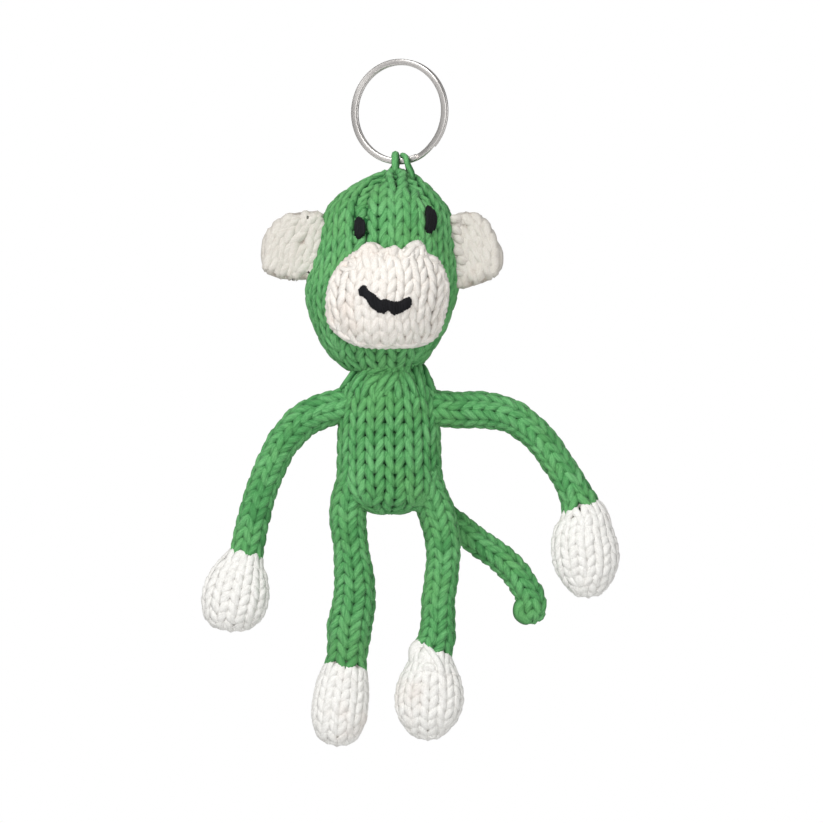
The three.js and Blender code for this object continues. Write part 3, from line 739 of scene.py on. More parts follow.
# Limbs: routes from the root to the tip, girths as distance, half width, half depth
limbs = {
    "leftArm": {
        "lead": [(-9.5, -0.3, -89.0)],
        "route": [
            (-16.0, -0.5, -90.6), (-20.5, -0.7, -91.8), (-25.3, -0.9, -94.1), (-28.5, -1.1, -97.3),
            (-31.2, -1.3, -100.5), (-34.7, -1.6, -107.9), (-37.6, -1.9, -116.3), (-40.5, -2.2, -128.5),
            (-42.6, -2.5, -136.9), (-44.4, -2.7, -146.4), (-44.7, -2.8, -150.1),
        ],
        "girths": [
            (0, 4.8, 4.8), (10, 4.75, 4.75), (20, 4.4, 4.4), (32, 4.3, 4.3), (44, 4.5, 4.5),
            (50, 5.0, 4.8), (54, 7.3, 5.9), (59, 8.9, 6.9), (64, 8.8, 6.8), (67.5, 7.3, 5.7),
            (69.2, 5.5, 4.4),
        ],
        "bends": (25, 48),
        "pitch": 3.2,
        "creamFrom": 49.6,
        "wales": 5,
        "creamWales": 9,
        "start": 0.03,
        "pieces": ("leftUpperArm", "leftForearm", "leftHand"),
    },
    "rightArm": {
        "lead": [(3.5, -0.3, -90.6)],
        "route": [
            (9.8, -0.5, -91.1), (14.7, -0.7, -91.5), (21.3, -0.9, -91.5), (27.1, -1.1, -92.3),
            (31.0, -1.2, -93.9), (37.4, -1.4, -99.2), (41.6, -1.6, -105.0), (45.0, -1.8, -110.5),
            (48.7, -2.2, -119.5), (48.8, -2.5, -125.8), (49.5, -2.7, -132.1), (50.0, -2.8, -141.1),
        ],
        "girths": [
            (0, 4.9, 4.9), (13, 4.9, 4.9), (23, 4.5, 4.5), (31, 4.25, 4.25), (42, 4.2, 4.2),
            (49, 4.9, 4.7), (55, 7.3, 5.9), (61, 9.0, 6.9), (66, 8.8, 6.8), (70.5, 6.9, 5.5),
            (73.4, 4.7, 3.9), (74.6, 3.3, 2.8),
        ],
        "bends": (27, 47),
        "pitch": 3.2,
        "creamFrom": 51.0,
        "wales": 5,
        "creamWales": 10,
        "start": 0.1,
        "pieces": ("rightUpperArm", "rightForearm", "rightHand"),
    },
    "leftLeg": {
        "lead": [(-10.6, -2.6, -107.5), (-12.6, -1.6, -112.6)],
        "route": [
            (-13.7, -0.5, -118.4), (-13.0, 0, -127.4), (-12.1, 0, -135.3), (-12.0, -0.2, -141.7),
            (-13.1, -0.4, -148.0), (-13.9, -0.6, -156.7), (-15.0, -1.0, -163.8), (-15.6, -1.2, -168.6),
            (-16.1, -1.3, -173.3), (-16.6, -1.3, -180.5),
        ],
        "girths": [
            (0, 5.0, 5.0), (10, 4.75, 4.75), (18, 5.4, 5.4), (24, 5.8, 5.8), (31, 6.0, 6.0),
            (39, 5.5, 5.5), (46.5, 7.1, 6.2), (51.5, 7.5, 6.4), (56, 7.2, 6.1), (60.2, 5.5, 4.7),
            (61.6, 4.1, 3.5),
        ],
        "bends": (19, 38),
        "pitch": 3.0,
        "creamFrom": 41.5,
        "wales": 5,
        "creamWales": 9,
        "start": 0.0,
        "pieces": ("leftThigh", "leftShin", "leftFoot"),
    },
    "rightLeg": {
        "lead": [(4.6, -2.6, -107.5), (7.2, -1.6, -112.6)],
        "route": [
            (9.6, -0.5, -118.4), (11.6, 0, -127.4), (11.0, 0, -136.9), (10.3, -0.2, -141.7),
            (10.2, -0.4, -148.0), (9.8, -0.5, -152.2), (8.7, -0.7, -155.9), (8.2, -1.1, -162.3),
            (7.8, -1.2, -168.6), (7.5, -1.2, -174.9), (7.5, -1.2, -178.9),
        ],
        "girths": [
            (0, 5.0, 5.0), (10, 4.65, 4.65), (19, 4.5, 4.5), (26, 4.5, 4.5), (33, 4.9, 4.9),
            (38.5, 5.5, 5.2), (41, 6.4, 5.7), (45, 8.4, 6.8), (50.5, 9.3, 7.2), (55.5, 8.0, 6.3),
            (59, 5.4, 4.4), (60.5, 3.7, 3.1),
        ],
        "bends": (18, 33),
        "pitch": 3.0,
        "creamFrom": 37.8,
        "wales": 5,
        "creamWales": 10,
        "start": 0.0,
        "pieces": ("rightThigh", "rightShin", "rightFoot"),
        "lumps": [
            {
                "radius": 1.75,
                "path": [
                    (7.4, -2.4, -154.6), (5.4, -2.2, -153.8), (4.2, -1.8, -154.9), (4.1, -1.8, -156.8),
                    (4.5, -2.2, -158.4), (6.2, -3.2, -159.2),
                ],
            },
            {
                "radius": 1.45,
                "path": [
                    (5.4, -3.8, -156.0), (6.8, -4.8, -157.2), (6.6, -4.8, -158.6), (5.2, -3.6, -159.4),
                ],
            },
            {
                "radius": 1.25,
                "path": [
                    (6.0, -5.0, -160.6), (7.1, -6.1, -159.4), (8.4, -6.4, -159.6), (8.8, -5.8, -161.0),
                ],
            },
            {
                "radius": 1.0,
                "path": [
                    (6.6, -3.2, -153.2), (7.6, -4.7, -154.6), (9.0, -5.6, -156.4), (10.4, -6.3, -158.6),
                    (11.0, -6.5, -160.6), (10.7, -5.8, -162.4),
                ],
            },
        ],
    },
    "tail": {
        "lead": [(-4.0, 7.0, -110.5)],
        "route": [
            (-1.0, 10.4, -112.0), (3.8, 14.6, -114.0), (10.0, 15.6, -118.4), (16.5, 14.2, -123.4),
            (22.3, 12.6, -127.8), (27.6, 11.4, -131.6), (31.4, 10.8, -135.6), (34.1, 10.4, -139.8),
            (35.4, 10.2, -142.6), (35.7, 10.0, -145.2), (35.4, 9.8, -148.8),
        ],
        "girths": [(0, 3.9, 3.9), (28, 4.0, 4.0), (44, 4.1, 4.1), (50, 4.1, 4.1), (52.5, 3.8, 3.8)],
        "lumps": [
            {
                "radius": 1.7,
                "path": [
                    (34.0, 9.2, -142.9), (32.3, 8.6, -143.5), (31.9, 8.2, -144.9), (32.1, 8.2, -146.1),
                    (33.4, 8.8, -147.2), (35.0, 9.6, -147.6),
                ],
            },
        ],
        "bends": (28,),
        "pitch": 3.1,
        "creamFrom": None,
        "wales": 4,
        "start": 0.12,
        "pieces": ("tailRoot", "tailTip"),
    },
}
limbKnit = {
    "firstPlace": 1.0,
    "lastGap": 1.2,
    "plainGap": 2.0,
    "creamPitch": 2.85,
    "creamWale": 3.3,
    "leastWales": 4,
    "rootCut": 0.6,
    "blendReach": 4.5,
    "rootReach": (1.5, 7.5),
    "coreInset": 2.2,
    "coreStart": 0.1,
    "coreOverlap": 0.1,
    "coreInCream": 1.0,
    "fillingInset": 1.75,
    "fillingInCream": 0.5,
    "fillingGap": 1.5,
    "lumpTaper": 0.4,
}


def nodeName(piece):
    return "".join("_" + letter.lower() if letter.isupper() else letter for letter in piece)


def limbRounds(limb, form):
    rounds = []
    change = limb["creamFrom"]
    first = limbKnit["firstPlace"]
    changeSkin = form.skinAt(change + form.root) if change else form.skinLength - limbKnit["plainGap"]
    count, pitch = evenPitch(changeSkin - first, limb["pitch"])
    for i in range(count):
        shares = np.arange(limb["wales"]) / limb["wales"] + limb["start"]
        rounds.append(knitRound(first + pitch * (i + 0.5), pitch, shares, limbYarn))
    if change:
        last = form.skinLength - limbKnit["lastGap"]
        count, pitch = evenPitch(last - changeSkin, limbKnit["creamPitch"])
        for i in range(count):
            place = changeSkin + pitch * (i + 0.5)
            room = form.perimeter(form.axisAt(place), yarnDepth) / limbKnit["creamWale"]
            wales = int(np.clip(room, limbKnit["leastWales"], limb["creamWales"]))
            shares = np.arange(wales) / wales + limb["start"]
            rounds.append(knitRound(place, pitch, shares, creamKnit, 1))
    return rounds


def makeLimb(limb):
    form = TubeForm(limb["route"], limb["girths"], limb["lead"])
    rounds = limbRounds(limb, form)
    pieces = limb["pieces"]
    bodies = ("torso", *(nodeName(piece) for piece in pieces))
    bends = [form.root + bend for bend in (0, *limb["bends"])]
    # a piece ends between two bends of the limb
    cuts = [-1.0, form.skinAt(form.root + limb["bends"][0] * limbKnit["rootCut"])]
    cuts += [form.skinAt((low + high) / 2) for low, high in zip(bends[1:], bends[2:])]
    cuts.append(form.skinLength + 1)
    for i, piece in enumerate(pieces):
        mesh = YarnMesh()
        low, high = cuts[i], cuts[i + 1]
        own = [k for k, knit in enumerate(rounds) if low <= knit["place"] < high]
        following = rounds[own[-1] + 1] if own[-1] + 1 < len(rounds) else None
        knitRounds(mesh, form, [rounds[k] for k in own], following)
        isTip = i + 1 == len(pieces)
        hasFilling = isTip and limb["creamFrom"] is not None
        coreStart = max(low - limbKnit["coreOverlap"], limbKnit["coreStart"])
        coreEnd = min(high, form.skinLength - limbKnit["plainGap"])
        if hasFilling:
            coreEnd = form.skinAt(limb["creamFrom"] + form.root + limbKnit["coreInCream"])
        coreEnd += limbKnit["coreOverlap"]
        # a darker core under the stitches: painted shade for the inside of the limb
        core = shellRings(form, coreStart, coreEnd, limbKnit["coreInset"], 12, 12)
        mesh.shell(core, 2)
        for lump in limb.get("lumps", []) if isTip else []:
            # loose yarn, thinner at its ends
            line = finePath(lump["path"], 6)
            ends = np.linspace(-1, 1, len(line)) ** 6
            width = lump["radius"] * (1 - limbKnit["lumpTaper"] * ends)
            mesh.strand(line, forward, width, 0.5, closed=False, finish=int(hasFilling), sides=8)
        made = mesh.build(piece, [greenYarn, whiteYarn, greenShade])
        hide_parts(nodeName(piece))
        joint, along, _, _ = form.frameAt(np.array(float(bends[i])))
        back, ahead = (limbKnit["blendReach"],) * 2 if i else limbKnit["rootReach"]
        bend = metres(joint - along * back, joint + along * ahead)
        bodies[i + 1]
        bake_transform(made)
        if hasFilling:
            start = form.skinAt(limb["creamFrom"] + form.root + limbKnit["fillingInCream"])
            end = form.skinLength - limbKnit["fillingGap"]
            filling = fillPiece(piece + "Filling", form, start, end, limbKnit["fillingInset"], creamShade)
            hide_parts(nodeName(piece) + "_stuffing")
            bodies[i + 1]
            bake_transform(filling)


for limb in limbs.values():
    makeLimb(limb)
print("limbs knitted")


# Head and crown: straight columns in front between two lines of decreases, the rest round the sides
headLook = {
    "stations": [
        (-26.9, -1.1, 1.4, 1.4), (-28.2, -1.1, 4.3, 4.1), (-30.2, -1.7, 7.9, 7.2),
        (-33.3, -2.8, 12.1, 10.7), (-35.4, -3.1, 14.3, 12.6), (-38.7, -3.2, 16.7, 14.4),
        (-46.0, -3.4, 18.1, 15.8), (-53.0, -3.9, 19.6, 17.0), (-59.5, -4.7, 20.5, 17.6),
        (-65.0, -5.1, 19.4, 16.8), (-70.3, -5.1, 17.5, 15.4), (-74.5, -5.3, 15.3, 13.5),
        (-77.2, -5.2, 13.4, 12.0), (-79.2, -5.0, 11.5, 10.4), (-81.3, -4.5, 9.2, 8.6),
    ],
    "pitch": 3.85,
    "frontWale": 4.15,
    "sideWale": 4.5,
    "columnGap": 0.3,
    "frontMiddle": -1.2,
    "panelUntil": -67.0,
    "chinWale": 4.8,
    "crownUntil": -30.7,
    "crownFoot": -30.9,
    "crownGap": 0.6,
    "crownInset": 2.0,
    "fillInset": 1.6,
    "fillGap": 0.3,
    "crownPitches": [2.4, 2.6, 2.9, 3.3],
    "frontEdges": [
        (26.0, -2.6, 1.4), (30.0, -4.4, 2.6), (32.0, -7.2, 3.4), (34.1, -8.8, 5.4), (36.8, -9.9, 7.4),
        (41.0, -10.2, 7.9), (90.0, -10.2, 7.9),
    ],
    "seam": {"halfWidth": 0.02, "depth": 1.1, "fadeFrom": -40.0, "fadeTo": -46.0},
}


def levelForm(stations):
    fine = frontPath([(x, z) for z, x, _, _ in stations], fineSteps)
    gone = runLength(fine)
    girths = [(float(np.interp(-z, -fine[:, 2], gone)), wide, deep) for z, _, wide, deep in stations]
    return TubeForm([(x, 0.0, z) for z, x, _, _ in stations], girths, level=True)


def goneAt(form, z):
    return np.interp(-np.asarray(z, float), -form.path[:, 2], form.gone)


def heightAt(form, skinPlace):
    return float(form.frameAt(form.axisAt(np.array(skinPlace)))[0][2])


def headRound(place, pitch):
    s = headForm.axisAt(place)
    z = heightAt(headForm, place)
    if z < headLook["panelUntil"]:
        count = round(headForm.perimeter(s, yarnDepth) / headLook["chinWale"])
        shares = headForm.shareOf(s, headLook["frontMiddle"], yarnDepth) + np.arange(count) / count
        return knitRound(place, pitch, shares, headYarn)
    edges = smoothTable(headLook["frontEdges"])(np.array(-z))
    left, right, middle = (
        headForm.shareOf(s, x, yarnDepth) for x in (edges[0], edges[1], headLook["frontMiddle"])
    )
    around = headForm.perimeter(s, yarnDepth)
    wale = headLook["frontWale"] / around
    steps = middle + wale * np.arange(-6, 7)
    gap = headLook["columnGap"] * wale
    front = steps[(steps > left + gap) & (steps < right - gap)]
    if not len(front):
        front = np.array([(left + right) / 2])
    room = 1 + left - right
    count = max(3, round(room * around / headLook["sideWale"]))
    sides = right + (np.arange(count) + 0.5) * room / count
    seam = headLook["seam"]
    fade = float(np.clip((z - seam["fadeTo"]) / (seam["fadeFrom"] - seam["fadeTo"]), 0, 1))
    dents = [(edge, seam["halfWidth"], seam["depth"] * fade) for edge in (left, right)]
    yarn = crownYarn if z > headLook["crownUntil"] else headYarn
    return knitRound(place, pitch, np.concatenate([front, sides]), yarn, dents=dents)


headForm = levelForm(headLook["stations"])
headRounds = []
gone = headLook["crownGap"]
for pitch in headLook["crownPitches"]:
    headRounds.append(headRound(gone + pitch / 2, pitch))
    gone += pitch
count, pitch = evenPitch(headForm.skinLength - gone, headLook["pitch"])
headRounds += [headRound(gone + pitch * (i + 0.5), pitch) for i in range(count)]
crownRounds = [k for k in headRounds if heightAt(headForm, k["place"]) > headLook["crownUntil"]]
faceRounds = headRounds[len(crownRounds):]
crownMesh = YarnMesh()
knitRounds(crownMesh, headForm, crownRounds, faceRounds[0])
crownSkin = headForm.skinAt(goneAt(headForm, headLook["crownFoot"]))
crownCore = shellRings(headForm, headLook["fillGap"], crownSkin, headLook["crownInset"], 5, 20)
crownMesh.shell(crownCore, 1)
crownKnit = crownMesh.build("crownKnit", [greenYarn, greenShade])
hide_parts("crown_tie")
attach(crownKnit, "crown")

headMesh = YarnMesh()
knitRounds(headMesh, headForm, faceRounds)
headKnit = headMesh.build("headKnit", [greenYarn])
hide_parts("head_cover")
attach(headKnit, "head")
fillEnd = headForm.skinLength - headLook["fillGap"]
headFilling = fillPiece(
    "headFilling", headForm, crownSkin, fillEnd, headLook["fillInset"], greenShade, 22, 32
)
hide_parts("head_stuffing")
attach(headFilling, "head")
print("head knitted")


# Torso: straight columns that draw in at the neck and close between the legs
torsoLook = {
    "stations": [
        (-78.2, -3.1, 8.6, 7.8), (-79.4, -3.0, 9.4, 8.3), (-81.4, -2.8, 10.5, 9.0),
        (-84.5, -2.9, 12.2, 10.1), (-88.0, -2.8, 13.1, 10.7), (-92.0, -2.8, 13.5, 10.9),
        (-98.0, -2.8, 13.8, 11.1), (-106.0, -2.7, 14.0, 11.3), (-111.5, -2.6, 14.0, 11.2),
        (-115.2, -2.6, 12.3, 10.2), (-117.6, -2.7, 8.8, 8.0), (-118.9, -2.8, 4.8, 4.6),
        (-119.6, -2.8, 1.4, 1.4),
    ],
    "pitch": 3.85,
    "wales": [(-81.8, 10), (-85.2, 12), (-117.5, 14), (-130.0, 8)],
    "start": 0.02,
    "gatherUntil": -93.0,
    "gather": 0.3,
    "gatherReach": 11,
    "footGap": 1.0,
    "fillInset": 2.05,
    "fillGaps": (0.5, 1.5),
    "bend": ((-4.1, 0, -80.8), (-4.1, 0, -88.0)),
    "fanRadius": 1.16,
    "fanLift": -0.5,
    "fanTuck": 0.5,
    "fanTaper": 0.3,
    "fanTones": (0.54, 0.1),
    "fanMiddle": -3.0,
    "fan": [
        [(-15.3, -85.9), (-13.2, -83.4), (-11.3, -80.4)], [(-12.3, -86.6), (-10.6, -83.6), (-7.8, -80.2)],
        [(-9.7, -88.0), (-8.0, -84.6), (-5.0, -82.3)], [(-8.2, -82.2), (-5.2, -80.5), (-1.9, -79.4)],
        [(-6.3, -88.2), (-4.4, -84.2), (-2.2, -81.4)], [(-3.6, -87.4), (-2.2, -84.4), (-0.7, -81.8)],
        [(0.8, -81.5), (2.7, -84.0), (4.4, -88.0)], [(3.9, -80.2), (5.0, -83.6), (6.3, -88.2)],
        [(-0.8, -84.0), (-0.4, -86.2), (-0.2, -88.6)], [(6.2, -79.9), (7.2, -83.0), (8.6, -86.6)],
    ],
}


def frontY(form, x, z, outward=0.0):
    gone = goneAt(form, z)
    centre = form.frameAt(gone)[0][..., 0]
    half = form.girth(gone)
    across = np.clip((x - centre) / (half[..., 0] + outward), -0.985, 0.985)
    return -(half[..., 1] + outward) * np.sqrt(1 - across**2)


torsoForm = levelForm(torsoLook["stations"])
torsoRounds = []
count, pitch = evenPitch(torsoForm.skinLength - torsoLook["footGap"], torsoLook["pitch"])
for i in range(count):
    place = pitch * (i + 0.5)
    z = heightAt(torsoForm, place)
    wales = next(wales for low, wales in torsoLook["wales"] if z > low)
    shares = np.arange(wales) / wales - 0.5 + torsoLook["start"]
    # the columns draw together at the front of the neck
    risen = (z - torsoLook["gatherUntil"]) / torsoLook["gatherReach"]
    gather = torsoLook["gather"] * np.clip(risen, 0, 1)
    shares = shares - gather / (2 * math.pi) * np.sin(2 * math.pi * shares)
    torsoRounds.append(knitRound(place, pitch, shares, knitYarn))
torsoMesh = YarnMesh()
knitRounds(torsoMesh, torsoForm, torsoRounds)
tone, endShade = torsoLook["fanTones"]
for spots in torsoLook["fan"]:
    # gathered stitches that fan out from the front of the neck, with their ends tucked in and painted
    # darker as shade
    path = frontPath(spots)
    path[:, 1] = frontY(torsoForm, path[:, 0], path[:, 2], torsoLook["fanLift"])
    share = np.abs(np.linspace(-1, 1, len(path)))
    path[:, 1] += torsoLook["fanTuck"] * share**4
    out = unit((path - [torsoLook["fanMiddle"], 0.0, 0.0]) * [1, 1, 0])
    width = torsoLook["fanRadius"] * (1 - torsoLook["fanTaper"] * share**3)
    torsoMesh.strand(path, out, width, tone - endShade * share**4, closed=False)
torsoKnit = torsoMesh.build("torsoKnit", [greenYarn])
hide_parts("torso_cover")
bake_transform(torsoKnit)
fillStart, fillGap = torsoLook["fillGaps"]
fillEnd = torsoForm.skinLength - fillGap
torsoFilling = fillPiece(
    "torsoFilling", torsoForm, fillStart, fillEnd, torsoLook["fillInset"], greenShade, 18, 28
)
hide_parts("torso_stuffing")
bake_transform(torsoFilling)
print("torso knitted")


# Neck yarn: two turns drawn tight round the neck
neckLook = {
    "centre": (-3.7, 0.0, -81.2),
    "halves": (8.1, 7.3, 0),
    "radius": 0.8,
    "turns": 2,
    "pitch": 1.3,
    "tuck": 1.6,
    "tuckTurn": 0.5,
}


def neckYarn():
    mesh = YarnMesh()
    turns = neckLook["turns"]
    angle = np.linspace(0, 2 * math.pi * turns, 40 * turns)
    share = angle / (2 * math.pi) - turns / 2
    out = np.stack([np.cos(angle), np.sin(angle), np.zeros_like(angle)], axis=1)
    points = np.array(neckLook["centre"]) + out * neckLook["halves"]
    points[:, 2] += share * neckLook["pitch"]
    fade = np.minimum(angle, angle[::-1]) / neckLook["tuckTurn"]
    points -= out * (neckLook["tuck"] * np.clip(1 - fade, 0, 1))[:, None]
    mesh.strand(points, out, neckLook["radius"], 0.45, closed=False)
    return mesh.build("neckYarn", [greenYarn])


neckTie = neckYarn()
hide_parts("neck_tie")
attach(neckTie, "neck")


# The face carries the muzzle, the eyes and the mouth
def faceY(x, z):
    return frontY(headForm, x, z)


muzzleLook = {
    "centre": (-3.4, -61.5),
    "outline": [
        (-10.8, -49.3), (-9.9, -48.3), (-7.6, -47.2), (-5.9, -48.0), (-4.6, -49.0), (-2.7, -48.8),
        (-1.0, -48.1), (0.2, -49.3), (1.7, -49.3), (2.7, -48.2), (4.2, -47.1), (5.7, -47.1), (6.7, -48.5),
        (7.5, -50.2), (10.2, -51.5), (12.0, -54.6), (13.3, -58.2), (13.2, -62.6), (12.2, -67.2),
        (10.2, -72.3), (6.1, -74.9), (-1.5, -75.6), (-7.5, -75.5), (-12.1, -74.6), (-16.3, -72.2),
        (-19.1, -68.6), (-19.5, -62.5), (-18.7, -57.8), (-16.6, -54.0), (-13.3, -50.8),
    ],
    "turn": 0,
    "edge": 1.0,
    "height": 5.4,
    "wale": 4.05,
    "pitch": 3.5,
    "within": 0.955,
    "rimInset": 1.0,
    "rimRadius": 1.15,
    "rimLift": -1.1,
    "rimWave": (0.08, 1.3),
    "rowInset": 0.8,
    "lobeRadius": 1.15,
    "swirlRadius": 0.85,
    "fillShares": (0.93, 0.9, 0.83, 0.7, 0.53, 0.32, 0.12),
    "fillLift": -1.4,
    "fillBack": 0.6,
    "sideInset": 1.5,
    "sideRadius": 1.05,
    "sideWave": 0.35,
    "sideWaveTurns": (1.9, 2),
    "sideUneven": 0.14,
    "sideHeights": (1.7, 0.6, -0.5),
    "lobes": [
        [(-11.3, -51.3), (-10.4, -49.6), (-8.6, -48.3), (-6.9, -48.6), (-6.1, -50.2)],
        [(-4.9, -51.0), (-3.9, -49.8), (-2.4, -49.6), (-1.8, -50.8)],
        [(-2.0, -50.6), (-0.9, -49.1), (0.4, -50.0), (0.9, -51.2)],
        [(1.2, -51.0), (2.4, -49.6), (3.6, -48.2), (5.2, -48.0), (6.1, -49.4), (6.3, -51.2)],
    ],
    "swirl": [
        (-15.6, -54.0), (-14.2, -54.7), (-12.6, -54.5), (-11.6, -53.5), (-12.0, -52.5), (-13.2, -52.4),
    ],
}


# A patch is a low dome over an outline. It stands on a base surface, in front of it or behind it.
class PatchForm:
    rimReach = 0.3
    rimFall = 14
    ringStep = 4
    coreStep = 6

    def __init__(self, look, baseY, side=-1):
        points = np.array(look["outline"], float)
        closed = np.vstack([points, points[:3]])
        path = finePath(np.column_stack([closed, np.zeros(len(closed))]), 12)[:, :2]
        self.centre = np.array(look["centre"])
        self.rim = path[12:-12]
        self.look = look
        self.baseY = baseY
        self.side = side
        offset = self.rim - self.centre
        self.reach = np.linalg.norm(offset, axis=1)
        self.turn = np.arctan2(offset[:, 1], offset[:, 0])
        # the rows lie along the first axis and follow each other along the second
        turn = math.radians(look["turn"])
        self.axes = np.array([[math.cos(turn), math.sin(turn)], [-math.sin(turn), math.cos(turn)]])
        self.grain = offset @ self.axes.T

    def spot(self, along, up):
        return tuple(
            self.centre[k] + along * self.axes[0, k] + up * self.axes[1, k] for k in (0, 1)
        )

    def share(self, x, z):
        offset = np.stack([x - self.centre[0], z - self.centre[1]], axis=-1)
        angle = np.arctan2(offset[..., 1], offset[..., 0])
        order = np.argsort(self.turn)
        reach = np.interp(angle, self.turn[order], self.reach[order], period=2 * math.pi)
        return np.linalg.norm(offset, axis=-1) / reach

    def surface(self, x, z):
        # past the outline the patch falls away
        share = np.clip(self.share(x, z), 0, 1 + self.rimReach)
        dome = np.sqrt(np.clip(1 - np.clip(share, 0, 1) ** 3, 0, 1))
        edge = self.look["edge"] - self.rimFall * np.clip(share - 1, 0, self.rimReach)
        height = edge + (self.look["height"] - self.look["edge"]) * dome
        return np.stack([x, self.baseY(x, z) + self.side * height, z], axis=-1)

    def place(self, x, z, lift):
        here = self.surface(x, z)
        step = 0.3
        across = self.surface(x + step, z) - self.surface(x - step, z)
        down = self.surface(x, z - step) - self.surface(x, z + step)
        out = unit(np.cross(down, across))
        out = np.where(out[..., 1:2] * self.side < 0, -out, out)
        return here + out * np.asarray(lift)[..., None], out

    def span(self, up):
        # from where to where a row at this height runs
        inside = np.linspace(self.grain[:, 0].min(), self.grain[:, 0].max(), 421)
        within = self.share(*self.spot(inside, up)) < self.look["within"]
        return inside[within].min(), inside[within].max()

    def ring(self, inset):
        # places all round, this far inside the outline
        offset = self.rim[:: self.ringStep] - self.centre
        length = np.linalg.norm(offset, axis=1, keepdims=True)
        return (self.centre + offset * (1 - inset / length)).T

    def shrunk(self, share):
        # places on the outline drawn in to this share of its size
        return (self.centre + (self.rim[:: self.coreStep] - self.centre) * share).T


waleLimits = (0.84, 1.18)


def rimWidth(look, count):
    # a rolled or sewn edge is a little thicker here and thinner there
    uneven, turn = look["rimWave"]
    return look["rimRadius"] * (1 + uneven * np.sin(np.arange(count) * turn))


def patchRows(form):
    # open rows of stitches from the top of the patch down
    look = form.look
    top = form.grain[:, 1].max() - look["rowInset"]
    foot = form.grain[:, 1].min() + look["rowInset"]
    count, pitch = evenPitch(top - foot, look["pitch"])
    least, most = waleLimits
    rows = []
    stitches = 1
    for i in range(count):
        up = top - pitch * (i + 0.5)
        low, high = form.span(up)
        # a row keeps the count of the row above while its stitches stay near their size
        if not least < (high - low) / stitches / look["wale"] < most:
            stitches = max(2, round((high - low) / look["wale"]))
        wale = (high - low) / stitches
        rows.append((up, low + (np.arange(stitches) + 0.5) * wale, wale))
    return rows, pitch


def knitPatch(mesh, form, yarn):
    rows, pitch = patchRows(form)
    within = form.look["within"]
    jitter = yarn["jitter"]
    t, rise, out, loose, sunk, depth, girth = stitchShape(yarn)
    for i, (up, heads, wale) in enumerate(rows):
        # each stitch stands on the nearest one of the next row
        below = rows[min(i + 1, len(rows) - 1)][1]
        base = below[np.argmin(np.abs(heads[:, None] - below[None, :]), axis=1)]
        base = np.where(np.abs(base - heads) > baseReach * wale, heads, base)
        count = len(heads)
        along = base[:, None] * (1 - rise) + heads[:, None] * rise + out * wale / 2
        along = along + shaken(loose, jitter * wale * 0.6, count)
        ups = up - yarn["reach"] * pitch * np.cos(t)[None, :] + shaken(loose, jitter * pitch, count)
        lift = depth + shaken(loose, jitter * yarn["radius"], count)
        width = girth * (1 + chance.normal(0, jitter * looseShares["width"], (count, 1)))
        tone = stitchTone(count, sunk, yarn)
        along, ups, lift, width, tone = (a.ravel() for a in (along, ups, lift, width, tone))
        # what would stick out past the edge is drawn in to it
        drawn = np.minimum(1, within / np.maximum(form.share(*form.spot(along, ups)), 0.01))
        points, outward = form.place(*form.spot(along * drawn, ups * drawn), lift)
        mesh.strand(points, outward, width, tone, closed=False, flat=yarn["flat"])


def knitMuzzle(form):
    mesh = YarnMesh()
    look = form.look
    knitPatch(mesh, form, creamKnit)
    # the sewn edge
    x, z = form.ring(look["rimInset"])
    points, outward = form.place(x, z, look["rimLift"])
    mesh.strand(points, outward, rimWidth(look, len(x)), 0.5, closed=True, flat=0.75)
    # the side of the patch goes on from its edge down to the face
    x, z = form.ring(look["sideInset"])
    outward = unit(np.stack([x - form.centre[0], np.zeros(len(x)), z - form.centre[1]], axis=1))
    turn, turnByHeight = look["sideWaveTurns"]
    for height in look["sideHeights"]:
        wave = np.sin(np.arange(len(x)) * turn + turnByHeight * height)
        points = np.stack([x, faceY(x, z) - height, z], axis=1)
        points = points + outward * look["sideWave"] * wave[:, None]
        width = look["sideRadius"] * (1 + look["sideUneven"] * wave)
        mesh.strand(points, outward, width, 0.5, closed=True)
    # a stray loop near the upper left corner, and the lobes over the edge at the top
    loops = [(look["swirl"], look["swirlRadius"])]
    loops += [(lobe, look["lobeRadius"]) for lobe in look["lobes"]]
    for spots, radius in loops:
        x, _, z = frontPath(spots).T
        points, outward = form.place(x, z, -0.5 * radius)
        mesh.strand(points, outward, radius, 0.5, closed=False, flat=0.8)
    return mesh.build("muzzleKnit", [creamYarn])


muzzleForm = PatchForm(muzzleLook, faceY)
muzzleKnit = knitMuzzle(muzzleForm)
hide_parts("muzzle_cover")
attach(muzzleKnit, "head")


def muzzleFill(form):
    mesh = YarnMesh()
    look = form.look
    shares = look["fillShares"]
    rings = [form.place(*form.shrunk(share), look["fillLift"])[0] for share in shares[::-1]]
    for share in shares:
        x, z = form.shrunk(share)
        rings.append(np.stack([x, faceY(x, z) + look["fillBack"], z], axis=-1))
    mesh.shell(np.array(rings), 0)
    return mesh.build("muzzleFilling", [creamShade])


muzzleFilling = muzzleFill(muzzleForm)
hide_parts("muzzle_stuffing")
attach(muzzleFilling, "head")
print("muzzle knitted")


